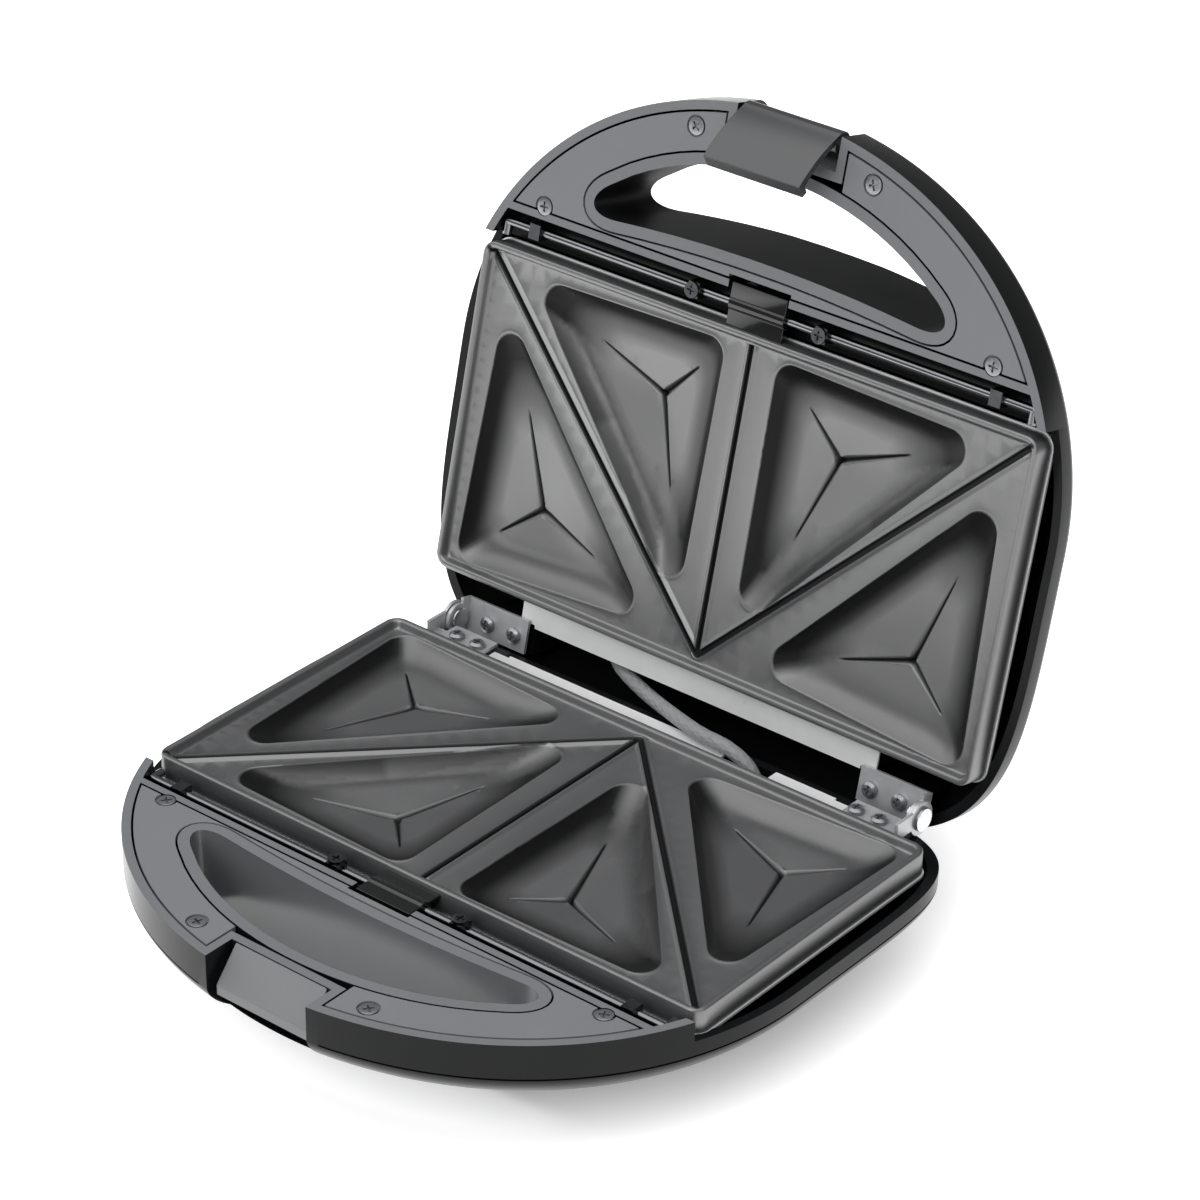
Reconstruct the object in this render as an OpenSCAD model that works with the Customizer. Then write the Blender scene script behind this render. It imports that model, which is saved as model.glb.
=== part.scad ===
// Sandwich toaster with a hinged lid, modelled open. Millimetres, X right, Y back, Z up,
// origin on the table under the middle of the open toaster.
// Each half is drawn in its own frame: z = 0 is the plane where the closed plates meet,
// and negative z goes into that half. The lid is the mirrored half turned about the hinge.

/* [Housing] */
// Width over the widest part of the housing
body_w = 240; // [236:1:246]
// Distance from the middle of the housing to the front of the handle
front_reach = 109.5; // [108:0.5:111]
// Depth of each half below the closing plane
half_depth = 42; // [41:0.5:43]
// Thickness of the moulded walls
wall = 3; // [2.6:0.1:3.2]
// Height of the rubber feet
foot_h = 4; // [3:0.5:6]

/* [Plates] */
// Width of a cooking plate
plate_w = 222; // [220:1:222]
// Front to back size of a cooking plate
plate_d = 115.4; // [114:0.2:116]
// Depth of the flat land below the plate's rim
land_depth = 3; // [2.5:0.1:3.2]
// Depth of a pocket below the land at its middle
pocket_depth = 7; // [5:0.5:7]
// Thickness of the cast plate
plate_t = 2.2; // [1.8:0.1:2.4]

/* [Hinge and lid] */
// Angle that the lid is open
lid_open = 103.7; // [90:0.1:105]
// Hinge axis behind the middle of the plates
hinge_y = 71.9; // [71.9:0.1:72.4]
// Diameter of the hinge rivets
hinge_pin_d = 5; // [4:0.5:5]

/* [Latch] */
// Width of the latch clip
clip_w = 37.6; // [34:0.2:38]
// Angle that the clip leans inwards when the lid is open
clip_lean = 41.5; // [30:0.5:45]
// Reach of the clip below its pin
clip_reach = 23; // [22.8:0.1:23.2]

/* [Hidden] */

$fn = 48;
gap = 0.3;                             // parting gap between fixed pieces
run = 0.06;                            // radial running fit of a pin in its bore
big = 400;                             // longer than anything that is cut away
face_z = -1;                           // height of the handle faces
side_z = -8;                           // height of the side and rear rims
sheet = 0.8;                           // sheet steel of pans
bracket_t = 1.2;                       // sheet steel of hinge brackets
closing_z = half_depth + foot_h;       // closing plane above the table
hinge_z = -2.15;                       // hinge axis below the closing plane
centre_y = 11.5;                       // middle of the open toaster, behind that of the plates

plan_y = -20;                          // centre of the plan outline
front_power = 2.05;                    // roundness of the handle side
base_rear = [94, 7];                   // plan centre to the rear, and squareness of its corners
lid_rear = [108, 4.5];
rear_slope = 0.15;                     // how much the rear wall leans, of the dome's inset
band_h = 13;                           // depth of the upright band below the closing plane
plan_points = 64;
bottom_t = 2.4;                        // thickness of the domed floor
web = 2.5;                             // moulded partitions

channel_y = -70;                       // handle side of the rod channel
block_y = -60.5;                       // where the handle block ends at the sides
channel_z = -10;                       // floor of the rod channel
rod_y = -65;
rod_z = -4;
rod_r = 1.5;
rod_end = 105;                         // half length of the rod
notch_w = 40.6;                        // width of the latch notch
notch_y = -116.6;                      // back of the latch notch
notch_z = -24;                         // floor of the latch notch
grip_w = 20.5;                         // width of the handle bar
grip_y = -81;                          // plate side of the finger opening at its middle
grip_rim = 3.8;                        // moulded rim around the finger opening
pin_y = -125;                          // latch pin
pin_z = -4.5;
pin_r = 1.5;

screw_r = 1.35;
pilot_r = 1.4;
clear_r = 1.7;
head_r = 2.9;
handle_screws = [[89.3, -74.4], [34.8, -116.5]];
pan_screws = [[62, 42], [62, -42]];
cover_size = [100, 86];                // bottom cover
cover_y = -7;
cover_inset = 7;                       // cover screws in from its edges
foot_spots = [[50, 55], [58, -56]];
foot_r = 7;

bush_x = -31;                          // cord bush in the rear wall
bush_z = -32;
bush_y = base_rear[0] + plan_y - rear_slope * dome(-bush_z);
bush_boss = 2.2;                       // boss round the bush, out of the wall
bush_inside = 6.4;                     // and into the housing
base_hinge_screws = [79, 88];
lid_hinge_screws = [74.5, 86];

rim_w = 2.4;                           // plate rim
plate_h = 8.5;                         // depth of the plate's skirt
plate_gap = 0.15;                      // plate rim below the closing plane
pocket_a = [[98.7, -33.1], [102.5, 52.1], [26, 47]];
pocket_a_low = [76.2, 28.4];
pocket_b = [[87.6, -48.2], [12.5, -50], [13.5, 35.3]];
pocket_b_low = [35.6, -25.5];
ridge_y = 52.6;                        // rear end of the dividing ridges
lock_w = 22;
lock_r = 3;
lock_tongue = 9.6;                     // reach of the lock's tongue from its rod

element_r = 3.3;
element_z = -16.6;
bend_r = 14;
neck_x = 12;                           // the element's two ends leave the pan here
pan_z = -25;                           // floor of the pan
strip_x = 74;                          // half width of the pan's rear flange

sleeve_r = 2.4;                        // woven sleeve round the wires to the lid
sleeve_route = [[-44, 92, 44], [-33.5, 84, 42.5], [-17, 77.5, 41.5], [1, 69.5, 44], [14, 66, 44.4],
  [25, 65.5, 44], [33, 65.5, 41], [37.5, 65, 36.5], [38, 64.5, 31]];

function sgn_pow(v, p) = sign(v) * pow(abs(v), p);
// Plan outline of the housing, drawn in by inset.
function outline(inset, rear, n = plan_points) = [for (k = [0:n - 1])
  let (t = 360 * (k + 0.5) / n, p = sin(t) < 0 ? front_power : rear[1],
       reach = sin(t) < 0 ? front_reach - inset : rear[0] - rear_slope * inset)
  [(body_w / 2 - inset) * sgn_pow(cos(t), 2 / p), plan_y + reach * sgn_pow(sin(t), 2 / p)]];
// How far the domed wall is drawn in at a depth below the closing plane.
function dome(depth) = depth <= band_h ? 0 : 4.5 * pow((depth - band_h) / 7, 1.65);
function inner_dome(depth) = max(wall, dome(depth + bottom_t) + 1.2);

// Solid through a stack of outlines that all have the same number of points.
module loft(rings) {
  n = len(rings[0]);
  last = len(rings) - 1;
  points = [for (ring = rings) each ring];
  sides = [for (j = [0:last - 1]) for (k = [0:n - 1])
    let (a = j * n + k, b = j * n + (k + 1) % n) each [[a, b + n, b], [a, a + n, b + n]]];
  polyhedron(points = points, faces = concat([[for (k = [0:n - 1]) k]], sides,
    [[for (k = [n - 1:-1:0]) last * n + k]]), convexity = 8);
}
function ring_at(shape, z) = [for (q = shape) [q[0], q[1], z]];
module dome_solid(rear) {
  depths = [half_depth, 39, 36, 33, 30, 27, 24, 21, 18, 15.5, band_h, -face_z];
  loft([for (d = depths) ring_at(outline(dome(d), rear), -d)]);
}
module dome_hollow(rear) {
  depths = [half_depth - bottom_t, 36, 33, 30, 27, 24, 21, 18, 15, 11, -5];
  inside = [rear[0] - wall * (1 - rear_slope), rear[1]];
  loft([for (d = depths) ring_at(outline(inner_dome(d), inside), -d)]);
}

module both() { children(); mirror([1, 0, 0]) children(); }
module base_place() { translate([0, -centre_y, closing_z]) children(); }
module lid_place() {
  translate([0, hinge_y - centre_y, closing_z + hinge_z]) rotate([-lid_open, 0, 0])
    translate([0, -hinge_y, -hinge_z]) mirror([0, 0, 1]) children();
}
module slab(z0, z1) { translate([0, 0, z0]) linear_extrude(z1 - z0) children(); }
module rod_x(x0, x1, r) { translate([x0, 0, 0]) rotate([0, 90, 0]) cylinder(h = x1 - x0, r = r); }
module rounded(w, d, r) {
  square([w - 2 * r, d], center = true);
  square([w, d - 2 * r], center = true);
  for (x = [-1, 1]) for (y = [-1, 1]) translate([x * (w / 2 - r), y * (d / 2 - r)]) circle(r);
}

// Corner rounded to radius r, as points along its arc.
function unit(v) = v / norm(v);
function round_corner(a, b, c, r, n = 5) =
  let (u = unit(a - b), v = unit(c - b), half = acos(u * v) / 2, m = unit(u + v),
       centre = b + m * r / sin(half), first = atan2(-m[1], -m[0]),
       turn = sign(u[0] * v[1] - u[1] * v[0]) * (90 - half))
  [for (k = [0:n]) let (t = first + turn * (1 - 2 * k / n)) centre + r * [cos(t), sin(t)]];
function rounded_shape(corners, r) = let (n = len(corners)) [for (k = [0:n - 1])
  each round_corner(corners[(k + n - 1) % n], corners[k], corners[(k + 1) % n], r)];
// Smooth curve through four control points.
function bezier(p, n = 10) = [for (k = [0:n]) let (t = k / n, s = 1 - t)
  s * s * s * p[0] + 3 * s * s * t * p[1] + 3 * s * t * t * p[2] + t * t * t * p[3]];
// Smooth path through all of a route's points, with n steps between two of them.
function smooth_point(a, b, c, d, t) = b + t * (c - a) / 2 + t * t * (2 * a - 5 * b + 4 * c - d) / 2
  + t * t * t * (3 * b - a - 3 * c + d) / 2;
function smooth(route, n) = let (last = len(route) - 1)
  concat([for (k = [0:last - 1]) each [for (j = [0:n - 1])
    smooth_point(route[max(k - 1, 0)], route[k], route[k + 1], route[min(k + 2, last)], j / n)]],
    [route[last]]);
function shrink(shape, centre, k) = [for (q = shape) centre + (q - centre) * k];

// ---------- housing ----------
// Finger opening: bowed plate side, round ends and an outer edge that follows the handle.
grip_half = 60;                        // where the bowed plate side ends
grip_end = 64;                         // where the outer edge ends
function grip_outer(x) = plan_y - (front_reach - grip_w)
  * pow(1 - pow(abs(x) / (body_w / 2 - grip_w), front_power), 1 / front_power);
function grip_bow(x) = grip_y + 3 * pow(x / grip_half, 2);
function grip_round(side) = bezier([[side * grip_half, grip_bow(grip_half)],
  [side * (grip_half + 11), grip_bow(grip_half) + 1], [side * (grip_end + 9), grip_outer(grip_end) + 6],
  [side * grip_end, grip_outer(grip_end)]], 8);
function grip_shape() = concat(
  [for (x = [-grip_half + 12:12:grip_half - 12]) [x, grip_bow(x)]], grip_round(1),
  [for (x = [grip_end - 8:-8:8 - grip_end]) [x, grip_outer(x)]],
  [for (k = [8:-1:0]) grip_round(-1)[k]]);
// Shape moved outwards by d; its points run clockwise.
function grow(shape, d) = let (n = len(shape)) [for (k = [0:n - 1])
  let (t = unit(shape[(k + 1) % n] - shape[(k + n - 1) % n])) shape[k] + d * [-t[1], t[0]]];
module grip_hole_2d(rim = 0) { polygon(grow(grip_shape(), rim)); }
module pegs(spots, r, z0, z1) {
  both() for (s = spots) translate([s[0], s[1], z0]) cylinder(h = z1 - z0, r = r);
}
// Moulded half housing: domed skin, hollow handle, finger opening, latch notch and channel.
module half_shell(rear) {
  difference() {
    union() {
      difference() { dome_solid(rear); dome_hollow(rear); }
      intersection() {
        dome_solid(rear);
        union() {
          slab(-half_depth, face_z) difference() { grip_hole_2d(grip_rim); grip_hole_2d(); }
          translate([-notch_w / 2 - wall, -140, notch_z - 2])
            cube([notch_w + 2 * wall, 140 + notch_y + wall, 2 + face_z - notch_z]);
          translate([-body_w / 2, channel_y - web, -half_depth]) cube([body_w, web, half_depth + face_z]);
          translate([-body_w / 2, channel_y, channel_z - web])
            cube([body_w, block_y - channel_y + 1.5, web]);
          pegs(handle_screws, 4, -half_depth, face_z - 2.2);
        }
      }
    }
    // open side and rear rims, finger opening, latch notch
    translate([-big / 2, block_y, side_z]) cube([big, big, 20]);
    slab(-big, big) grip_hole_2d();
    translate([-notch_w / 2, -150, notch_z]) cube([notch_w, 150 + notch_y, 40]);
    // slot for the finger end of the plate lock
    translate([-lock_w / 2 - 1, channel_y - 4, channel_z]) cube([lock_w + 2, 6, 20]);
    pegs(handle_screws, pilot_r, face_z - 12, 0);
    pegs(handle_screws, head_r + 0.2, face_z - 2, 0);
    // room for the cooking plate and the edge of its pan
    slab(-plate_h - 1.2, 10) plate_2d(-0.9);
  }
}
module handle_cover() {
  slab(face_z - 2, face_z) difference() {
    intersection() {
      polygon(outline(wall + gap, base_rear));
      translate([-big / 2, -big + channel_y - web - gap]) square([big, big]);
    }
    grip_hole_2d(grip_rim + gap);
    translate([-notch_w / 2 - wall - gap, -150]) square([notch_w + 2 * (wall + gap), 60]);
    translate([-lock_w / 2 - 1.4, channel_y - 4.3]) square([lock_w + 2.8, 20]);
  }
}
module handle_cover_drilled() {
  difference() {
    handle_cover();
    both() for (s = handle_screws) translate([s[0], s[1], face_z]) countersink();
  }
}
// Hole for a countersunk screw whose head's top is at the origin.
module countersink() {
  translate([0, 0, -6]) cylinder(h = 7, r = clear_r);
  translate([0, 0, -1.8]) cylinder(h = 1.2, r1 = clear_r, r2 = head_r + 0.2);
  translate([0, 0, -0.6]) cylinder(h = 2, r = head_r + 0.2);
}
// Countersunk cross-head screw with its head's top at the origin.
module screw(length) {
  difference() {
    union() {
      translate([0, 0, -0.5]) cylinder(h = 0.45, r = head_r);
      translate([0, 0, -1.7]) cylinder(h = 1.2, r1 = screw_r, r2 = head_r);
      translate([0, 0, -length]) cylinder(h = length - 1.6, r = screw_r);
    }
    for (a = [0, 90]) rotate(a) translate([-1.6, -0.35, -1.3]) cube([3.2, 0.7, 2]);
  }
}
// Pan-head cross-head screw whose head sits on the origin plane.
module pan_screw(length, r = 2.7) {
  difference() {
    union() {
      cylinder(h = 1.3, r = r);
      translate([0, 0, 1.3]) cylinder(h = 0.7, r1 = r, r2 = r - 0.9);
      translate([0, 0, -length]) cylinder(h = length + 0.1, r = screw_r);
    }
    for (a = [0, 90]) rotate(a) translate([-1.5, -0.35, 0.9]) cube([3, 0.7, 2]);
  }
}
module handle_screw_set() {
  both() for (s = handle_screws) translate([s[0], s[1], face_z]) screw(9);
}

module at_cover_screws() {
  half = cover_size / 2 - [cover_inset, cover_inset];
  both() for (y = [-1, 1]) translate([half[0], cover_y + y * half[1], 0]) children();
}
module cover_plan(margin, r) {
  translate([0, cover_y]) rounded(cover_size[0] + 2 * margin, cover_size[1] + 2 * margin, r);
}
module base_shell() {
  color("#2b2c2e") base_place() difference() {
    union() {
      half_shell(base_rear);
      slab(bottom_t - half_depth - 0.1, 2 * bottom_t - half_depth)
        difference() { cover_plan(3, 9); cover_plan(-5, 5); }
      pan_posts();
      at_cover_screws() translate([0, 0, bottom_t - half_depth]) cylinder(h = 8, r = 3.6);
      // pillars under the hinge brackets and boss round the cord bush
      both() intersection() {
        dome_solid(base_rear);
        translate([75, 59, -22]) cube([17, 20, 22 + base_flange_z - 0.1]);
      }
      translate([bush_x, bush_y - bush_inside, bush_z]) rotate([-90, 0, 0])
        cylinder(h = bush_inside + bush_boss, r = 7.6);
    }
    slab(-half_depth - 1, bottom_t - half_depth) cover_plan(gap, 6);
    at_cover_screws() translate([0, 0, -half_depth]) cylinder(h = 9, r = pilot_r);
    pan_post_holes();
    both() for (s = foot_spots) translate([s[0], s[1], -half_depth - 1]) cylinder(h = 6, r = 2.6);
    translate([bush_x, 55, bush_z]) rotate([-90, 0, 0]) cylinder(h = 30, r = 5.1);
    both() for (x = base_hinge_screws)
      translate([x, base_screw_y, base_flange_z - 14]) cylinder(h = 16, r = pilot_r);
    // moulded slot low in each side wall
    both() translate([body_w / 2 - 7, -6, -23]) cube([20, 10, 3.4]);
    // shadow line under the upright band
    difference() {
      slab(-band_h - 0.7, -band_h) square([big, big], center = true);
      slab(-band_h - 2, -band_h + 2) polygon(outline(0.8, base_rear));
      translate([-notch_w / 2 - 4, -150, -20]) cube([notch_w + 8, 60, 20]);
    }
  }
}
module pan_posts() {
  pegs(pan_screws, 4.2, -half_depth + 1, pan_z - sheet);
}
module pan_post_holes() {
  pegs(pan_screws, pilot_r, pan_z - 12, pan_z + 5);
}
module base_cover() {
  vent = [2.4, 18];
  color("#242526") base_place() difference() {
    slab(-half_depth, bottom_t - half_depth) cover_plan(0, 6);
    for (k = [-4:4]) for (y = [-22, 6])
      translate([k * 7 - vent[0] / 2, y, -half_depth - 1]) cube([vent[0], vent[1], 6]);
    at_cover_screws() translate([0, 0, -half_depth]) mirror([0, 0, 1]) countersink();
  }
}
module base_cover_screws() {
  color("silver") base_place() at_cover_screws() translate([0, 0, -half_depth]) mirror([0, 0, 1]) screw(8);
}
module rubber_feet() {
  color("#1c1c1c") base_place() both() for (s = foot_spots) translate([s[0], s[1], -half_depth]) {
    translate([0, 0, -foot_h]) cylinder(h = foot_h, r1 = foot_r - 0.8, r2 = foot_r);
    cylinder(h = 3.6, r = 2.5);
  }
}
module base_handle_cover() { color("#55575a") base_place() handle_cover_drilled(); }
module base_handle_screws() { color("silver") base_place() handle_screw_set(); }
// Sloped catch plate in the notch of the base; the clip hooks under its front edge.
module latch_catch() {
  nose_y = -125.8;
  nose_z = -15.6;
  catch_w = 37.2;
  profile = [[notch_y, face_z - 0.2], [nose_y, -12], [nose_y, nose_z], [nose_y + 2.6, nose_z],
    [nose_y + 2.6, -12.6], [notch_y, -6]];
  color("#8d9094") base_place() rotate([90, 0, 90])
    translate([0, 0, -catch_w / 2]) linear_extrude(catch_w) polygon(profile);
}

// ---------- cooking plates and pans ----------
// One pocket as a solid: sloping sides and three shallow facets that fall to one low point.
module pocket(corners, low, grow, drop) {
  shape = rounded_shape(corners, 6 + grow);
  middle = (corners[0] + corners[1] + corners[2]) / 3;
  outer = shrink(shape, middle, 1 + grow / 28);
  inner = shrink(rounded_shape(corners, 12), middle, 0.74 + grow / 28);
  n = len(outer);
  top = -land_depth - plate_gap + 0.4;
  floor_z = -land_depth - pocket_depth * 0.72 - drop;
  low_z = -land_depth - pocket_depth - drop;
  points = concat(ring_at(outer, top - drop), ring_at(outer, top - drop - 0.4),
    ring_at(inner, floor_z), [[low[0], low[1], low_z]]);
  quads = [for (j = [0:1]) for (k = [0:n - 1])
    let (a = j * n + k, b = j * n + (k + 1) % n) each [[a, b + n, b], [a, a + n, b + n]]];
  floor_faces = [for (k = [0:n - 1]) [2 * n + k, 3 * n, 2 * n + (k + 1) % n]];
  turned = (corners[1] - corners[0])[0] * (corners[2] - corners[0])[1]
    - (corners[1] - corners[0])[1] * (corners[2] - corners[0])[0] > 0;
  faces = concat([[for (k = [0:n - 1]) k]], quads, floor_faces);
  back_to_front = [for (f = faces) [for (k = [len(f) - 1:-1:0]) f[k]]];
  polyhedron(points = points, faces = turned ? back_to_front : faces);
}
module all_pockets(grow, drop) {
  both() {
    pocket(pocket_a, pocket_a_low, grow, drop);
    pocket(pocket_b, pocket_b_low, grow, drop);
  }
}
module ridge_band(width, z0, z1) {
  slab(z0, z1) {
    both() polygon([[-width / 2, ridge_y], [0, ridge_y + 3], [width / 2, ridge_y],
      [plate_w / 2, -plate_d / 2 + width * 0.6], [plate_w / 2, -plate_d / 2 - width * 0.6],
      [plate_w / 2 - width, -plate_d / 2]]);
    translate([-width / 2, -plate_d / 2]) square([width, plate_d / 2 + ridge_y]);
  }
}
module plate_2d(inset = 0) { rounded(plate_w - 2 * inset, plate_d - 2 * inset, 5 - min(inset, 3)); }
module half_plate() {
  land = -land_depth - plate_gap;
  difference() {
    union() {
      slab(land - plate_t, land) plate_2d(0.5);
      slab(-plate_h, -plate_gap) difference() { plate_2d(); plate_2d(rim_w); }
      intersection() {
        ridge_band(5, land - 0.1, land + 0.9);
        slab(-20, 0) plate_2d(rim_w);
      }
      all_pockets(2.4, plate_t);
    }
    all_pockets(0, 0);
    ridge_band(1.5, land - 0.8, 0);
    translate([-lock_w / 2 - 1.5, -plate_d / 2 - 1, land]) cube([lock_w + 3, 5, 10]);
  }
}
// Rectangle of half sizes x and y as a thin slab that starts at z.
module leaf(x, y, z) { translate([-x, -y, z]) cube([2 * x, 2 * y, 0.1]); }
// Sheet pan under a plate: sloping sides, a flange, and a stepped ledge along the rear.
module half_pan() {
  top = [107, 55];
  low = [92, 46];
  flange_z = -plate_h - 0.1;
  ledge_z = -plate_h + 3;
  rear_y = plate_d / 2 + 0.5;
  difference() {
    union() {
      hull() {
        leaf(top[0], top[1], flange_z - sheet);
        leaf(low[0], low[1], pan_z - sheet);
      }
      slab(flange_z - sheet, flange_z) plate_2d(-0.6);
      slab(flange_z - sheet, ledge_z + sheet)
        translate([-strip_x, rear_y]) square([2 * strip_x, sheet]);
      slab(ledge_z, ledge_z + sheet) {
        translate([-strip_x, rear_y]) square([2 * strip_x, 8]);
        translate([-strip_x + 6, rear_y]) square([2 * strip_x - 12, 9.2]);
      }
    }
    hull() {
      leaf(top[0] - sheet, top[1] - sheet, flange_z + 0.1);
      leaf(low[0] - sheet, low[1] - sheet, pan_z);
    }
    pegs(pan_screws, clear_r, pan_z - 3, pan_z + 3);
    both() translate([neck_x, 30, element_z]) rotate([-90, 0, 0]) cylinder(h = 40, r = element_r + 1.1);
  }
}
module half_pan_screws() {
  both() for (s = pan_screws) translate([s[0], s[1], pan_z]) pan_screw(9);
}
module bend(x, y, from, sweep) {
  translate([x, y, 0]) rotate([0, 0, from])
    rotate_extrude(angle = sweep) translate([bend_r, 0]) circle(element_r);
}
module straight(a, b) {
  d = b - a;
  translate([a[0], a[1], 0]) rotate([0, 90, atan2(d[1], d[0])]) cylinder(h = norm(d), r = element_r);
}
// Tubular heating element: a loop under the pockets with two ends out of the pan's rear.
module half_element() {
  front = -32;
  side = 66;
  back = 18;
  end_y = 59;
  translate([0, 0, element_z]) {
    straight([-side + bend_r, front], [side - bend_r, front]);
    both() {
      bend(side - bend_r, front + bend_r, -90, 90);
      straight([side, front + bend_r], [side, back - bend_r]);
      bend(side - bend_r, back - bend_r, 0, 90);
      straight([side - bend_r, back], [neck_x + bend_r, back]);
      bend(neck_x + bend_r, back + bend_r, 180, 90);
      straight([neck_x, back + bend_r], [neck_x, end_y]);
      translate([neck_x, end_y - 4, 0]) rotate([-90, 0, 0]) cylinder(h = 3, r = element_r + 0.9);
      translate([neck_x, end_y, 0]) rotate([-90, 0, 0]) cylinder(h = 7, r = 1.2);
    }
  }
}
module half_element_supports() {
  support_w = 12;
  both() translate([66, -7, 0]) difference() {
    translate([-support_w / 2, -0.6, pan_z]) {
      cube([support_w, 1.2, element_z - pan_z + 5]);
      cube([support_w, 9, 1]);
    }
    translate([0, -5, element_z]) rotate([-90, 0, 0]) cylinder(h = 10, r = element_r + 0.05);
  }
}
module lower_plate() { color("#4b4c4e") base_place() half_plate(); }
module lower_pan() {
  color("#c9cbcd") base_place() difference() {
    half_pan();
    // notch where the wire sleeve passes
    translate([25, plate_d / 2 + 3, -plate_h]) cube([19, 12, 10]);
  }
}
module lower_pan_screws() { color("silver") base_place() half_pan_screws(); }
module lower_element() { color("#8a8478") base_place() half_element(); }
module lower_element_supports() { color("#b4b6b8") base_place() half_element_supports(); }

// ---------- electrical parts in the base ----------
// Snap-action disc thermostat clamped to the pan, with two blade terminals.
module thermostat() {
  body_h = 6;
  color("#d8d3c8") base_place() translate([20, 0, pan_z - sheet]) {
    translate([0, 0, -body_h]) cylinder(h = body_h, r = 8);
    for (x = [-6.5, 1.5]) translate([x, -14, 1 - body_h]) cube([5, 28, sheet]);
  }
}
module thermal_fuse() {
  fuse_r = 2.6;
  color("#b8b2a0") base_place() translate([-20, 20, pan_z - sheet - fuse_r]) {
    rod_x(-11, 11, fuse_r);
    rod_x(-17, 17, 0.6);
  }
}
terminals = [-41, -31, -21];           // screw terminals of the block
terminal_y = 47.5;
terminal_z = -35;                      // height of its wire holes
module terminal_block() {
  block = [30, 11, 9];
  color("#e8e4da") base_place() difference() {
    translate([terminals[1] - block[0] / 2, terminal_y - block[1] / 2, bottom_t - half_depth])
      cube(block);
    for (x = terminals) translate([x, terminal_y, terminal_z]) {
      translate([0, 0, 1]) cylinder(h = 10, r = 2);
      translate([0, -8, 0]) rotate([-90, 0, 0]) cylinder(h = 20, r = 1.4);
    }
  }
}
// Tube along a list of points, with flat ends.
function frame_dir(path, k) = unit(path[min(k + 1, len(path) - 1)] - path[max(k - 1, 0)]);
module tube(path, r, sides = 8) {
  rings = [for (k = [0:len(path) - 1]) let (d = frame_dir(path, k),
      side = unit(cross(d, abs(d[2]) > 0.9 ? [1, 0, 0] : [0, 0, 1])), up = cross(side, d))
    [for (j = [0:sides - 1]) path[k] + r * (cos(360 * j / sides) * side + sin(360 * j / sides) * up)]];
  loft(rings);
}
module inlet_wires() {
  color("#7a3b2a") base_place() for (k = [0:2]) {
    from_x = bush_x + 2.4 * (k - 1);
    to_y = terminal_y + 5.9;
    start_y = bush_y - bush_inside - 2.6;
    tube(bezier([[from_x, start_y, bush_z], [from_x, start_y - 4, bush_z],
      [terminals[k], to_y + 6.6, terminal_z], [terminals[k], to_y, terminal_z]]), 0.9);
  }
}
module cord_bush() {
  color("#1e1e1f") base_place() translate([bush_x, bush_y, bush_z]) rotate([-90, 0, 0]) difference() {
    union() {
      translate([0, 0, -bush_inside - 2]) cylinder(h = bush_inside + bush_boss + 3, r = 5);
      translate([0, 0, bush_boss + 0.1]) cylinder(h = 2, r = 6.6);
      translate([0, 0, -bush_inside - 2.4]) cylinder(h = 2.3, r = 6);
      translate([0, 0, bush_boss + 2]) cylinder(h = 7, r1 = 5, r2 = 4);
    }
    translate([0, 0, -10]) cylinder(h = 30, r = 3.2);
  }
}
module earth_tag() {
  color("#d8b45a") base_place() translate([40, 30, pan_z - sheet]) {
    difference() {
      translate([0, 0, -sheet]) cylinder(h = sheet, r = 4);
      translate([0, 0, -2]) cylinder(h = 4, r = clear_r);
    }
    translate([3, -2, -sheet]) cube([9, 4, sheet]);
    mirror([0, 0, 1]) translate([0, 0, sheet]) cylinder(h = 1.6, r = 2.8);
  }
}

// ---------- hinge ----------
ear_r = 5.8;
base_ear_x = 96.7;                     // inner face of the base ear
lid_ear_x = 95.2;                      // inner face of the lid ear
base_flange_z = -4.2;
lid_flange_x = 69.5;                   // where the lid flange starts
lid_flange_z = 3;                      // lid flange above the closing plane when closed
lid_screw_y = 71.8;
base_screw_y = 63;
module base_bracket() {
  color("#b9bcbf") base_place() difference() {
    union() {
      translate([75, 59, base_flange_z]) cube([18.5, 10, bracket_t]);
      translate([90, 59, base_flange_z]) cube([base_ear_x + bracket_t - 90, 5, bracket_t]);
      translate([base_ear_x, 59, base_flange_z]) cube([bracket_t, hinge_y - 59, 6]);
      translate([base_ear_x, hinge_y, hinge_z]) rod_x(0, bracket_t, ear_r);
    }
    translate([base_ear_x - 2, hinge_y, hinge_z]) rod_x(0, 6, hinge_pin_d / 2);
    for (x = base_hinge_screws) translate([x, base_screw_y, -8]) cylinder(h = 8, r = clear_r);
  }
}
module base_bracket_right() { base_bracket(); }
module base_bracket_left() { mirror([1, 0, 0]) base_bracket(); }
module base_bracket_screws() {
  color("silver") base_place() both() for (x = base_hinge_screws)
    translate([x, base_screw_y, base_flange_z + bracket_t]) pan_screw(12);
}
module hinge_rivet() {
  color("#d5d7d9") base_place() translate([0, hinge_y, hinge_z]) {
    rod_x(lid_ear_x - 0.3, base_ear_x + bracket_t, hinge_pin_d / 2);
    rod_x(lid_ear_x - 1.3, lid_ear_x - 0.3, hinge_pin_d / 2 + 1.4);
    rod_x(base_ear_x + bracket_t, base_ear_x + bracket_t + 1.2, hinge_pin_d / 2 + 1.6);
  }
}
module hinge_rivet_right() { hinge_rivet(); }
module hinge_rivet_left() { mirror([1, 0, 0]) hinge_rivet(); }
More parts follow.
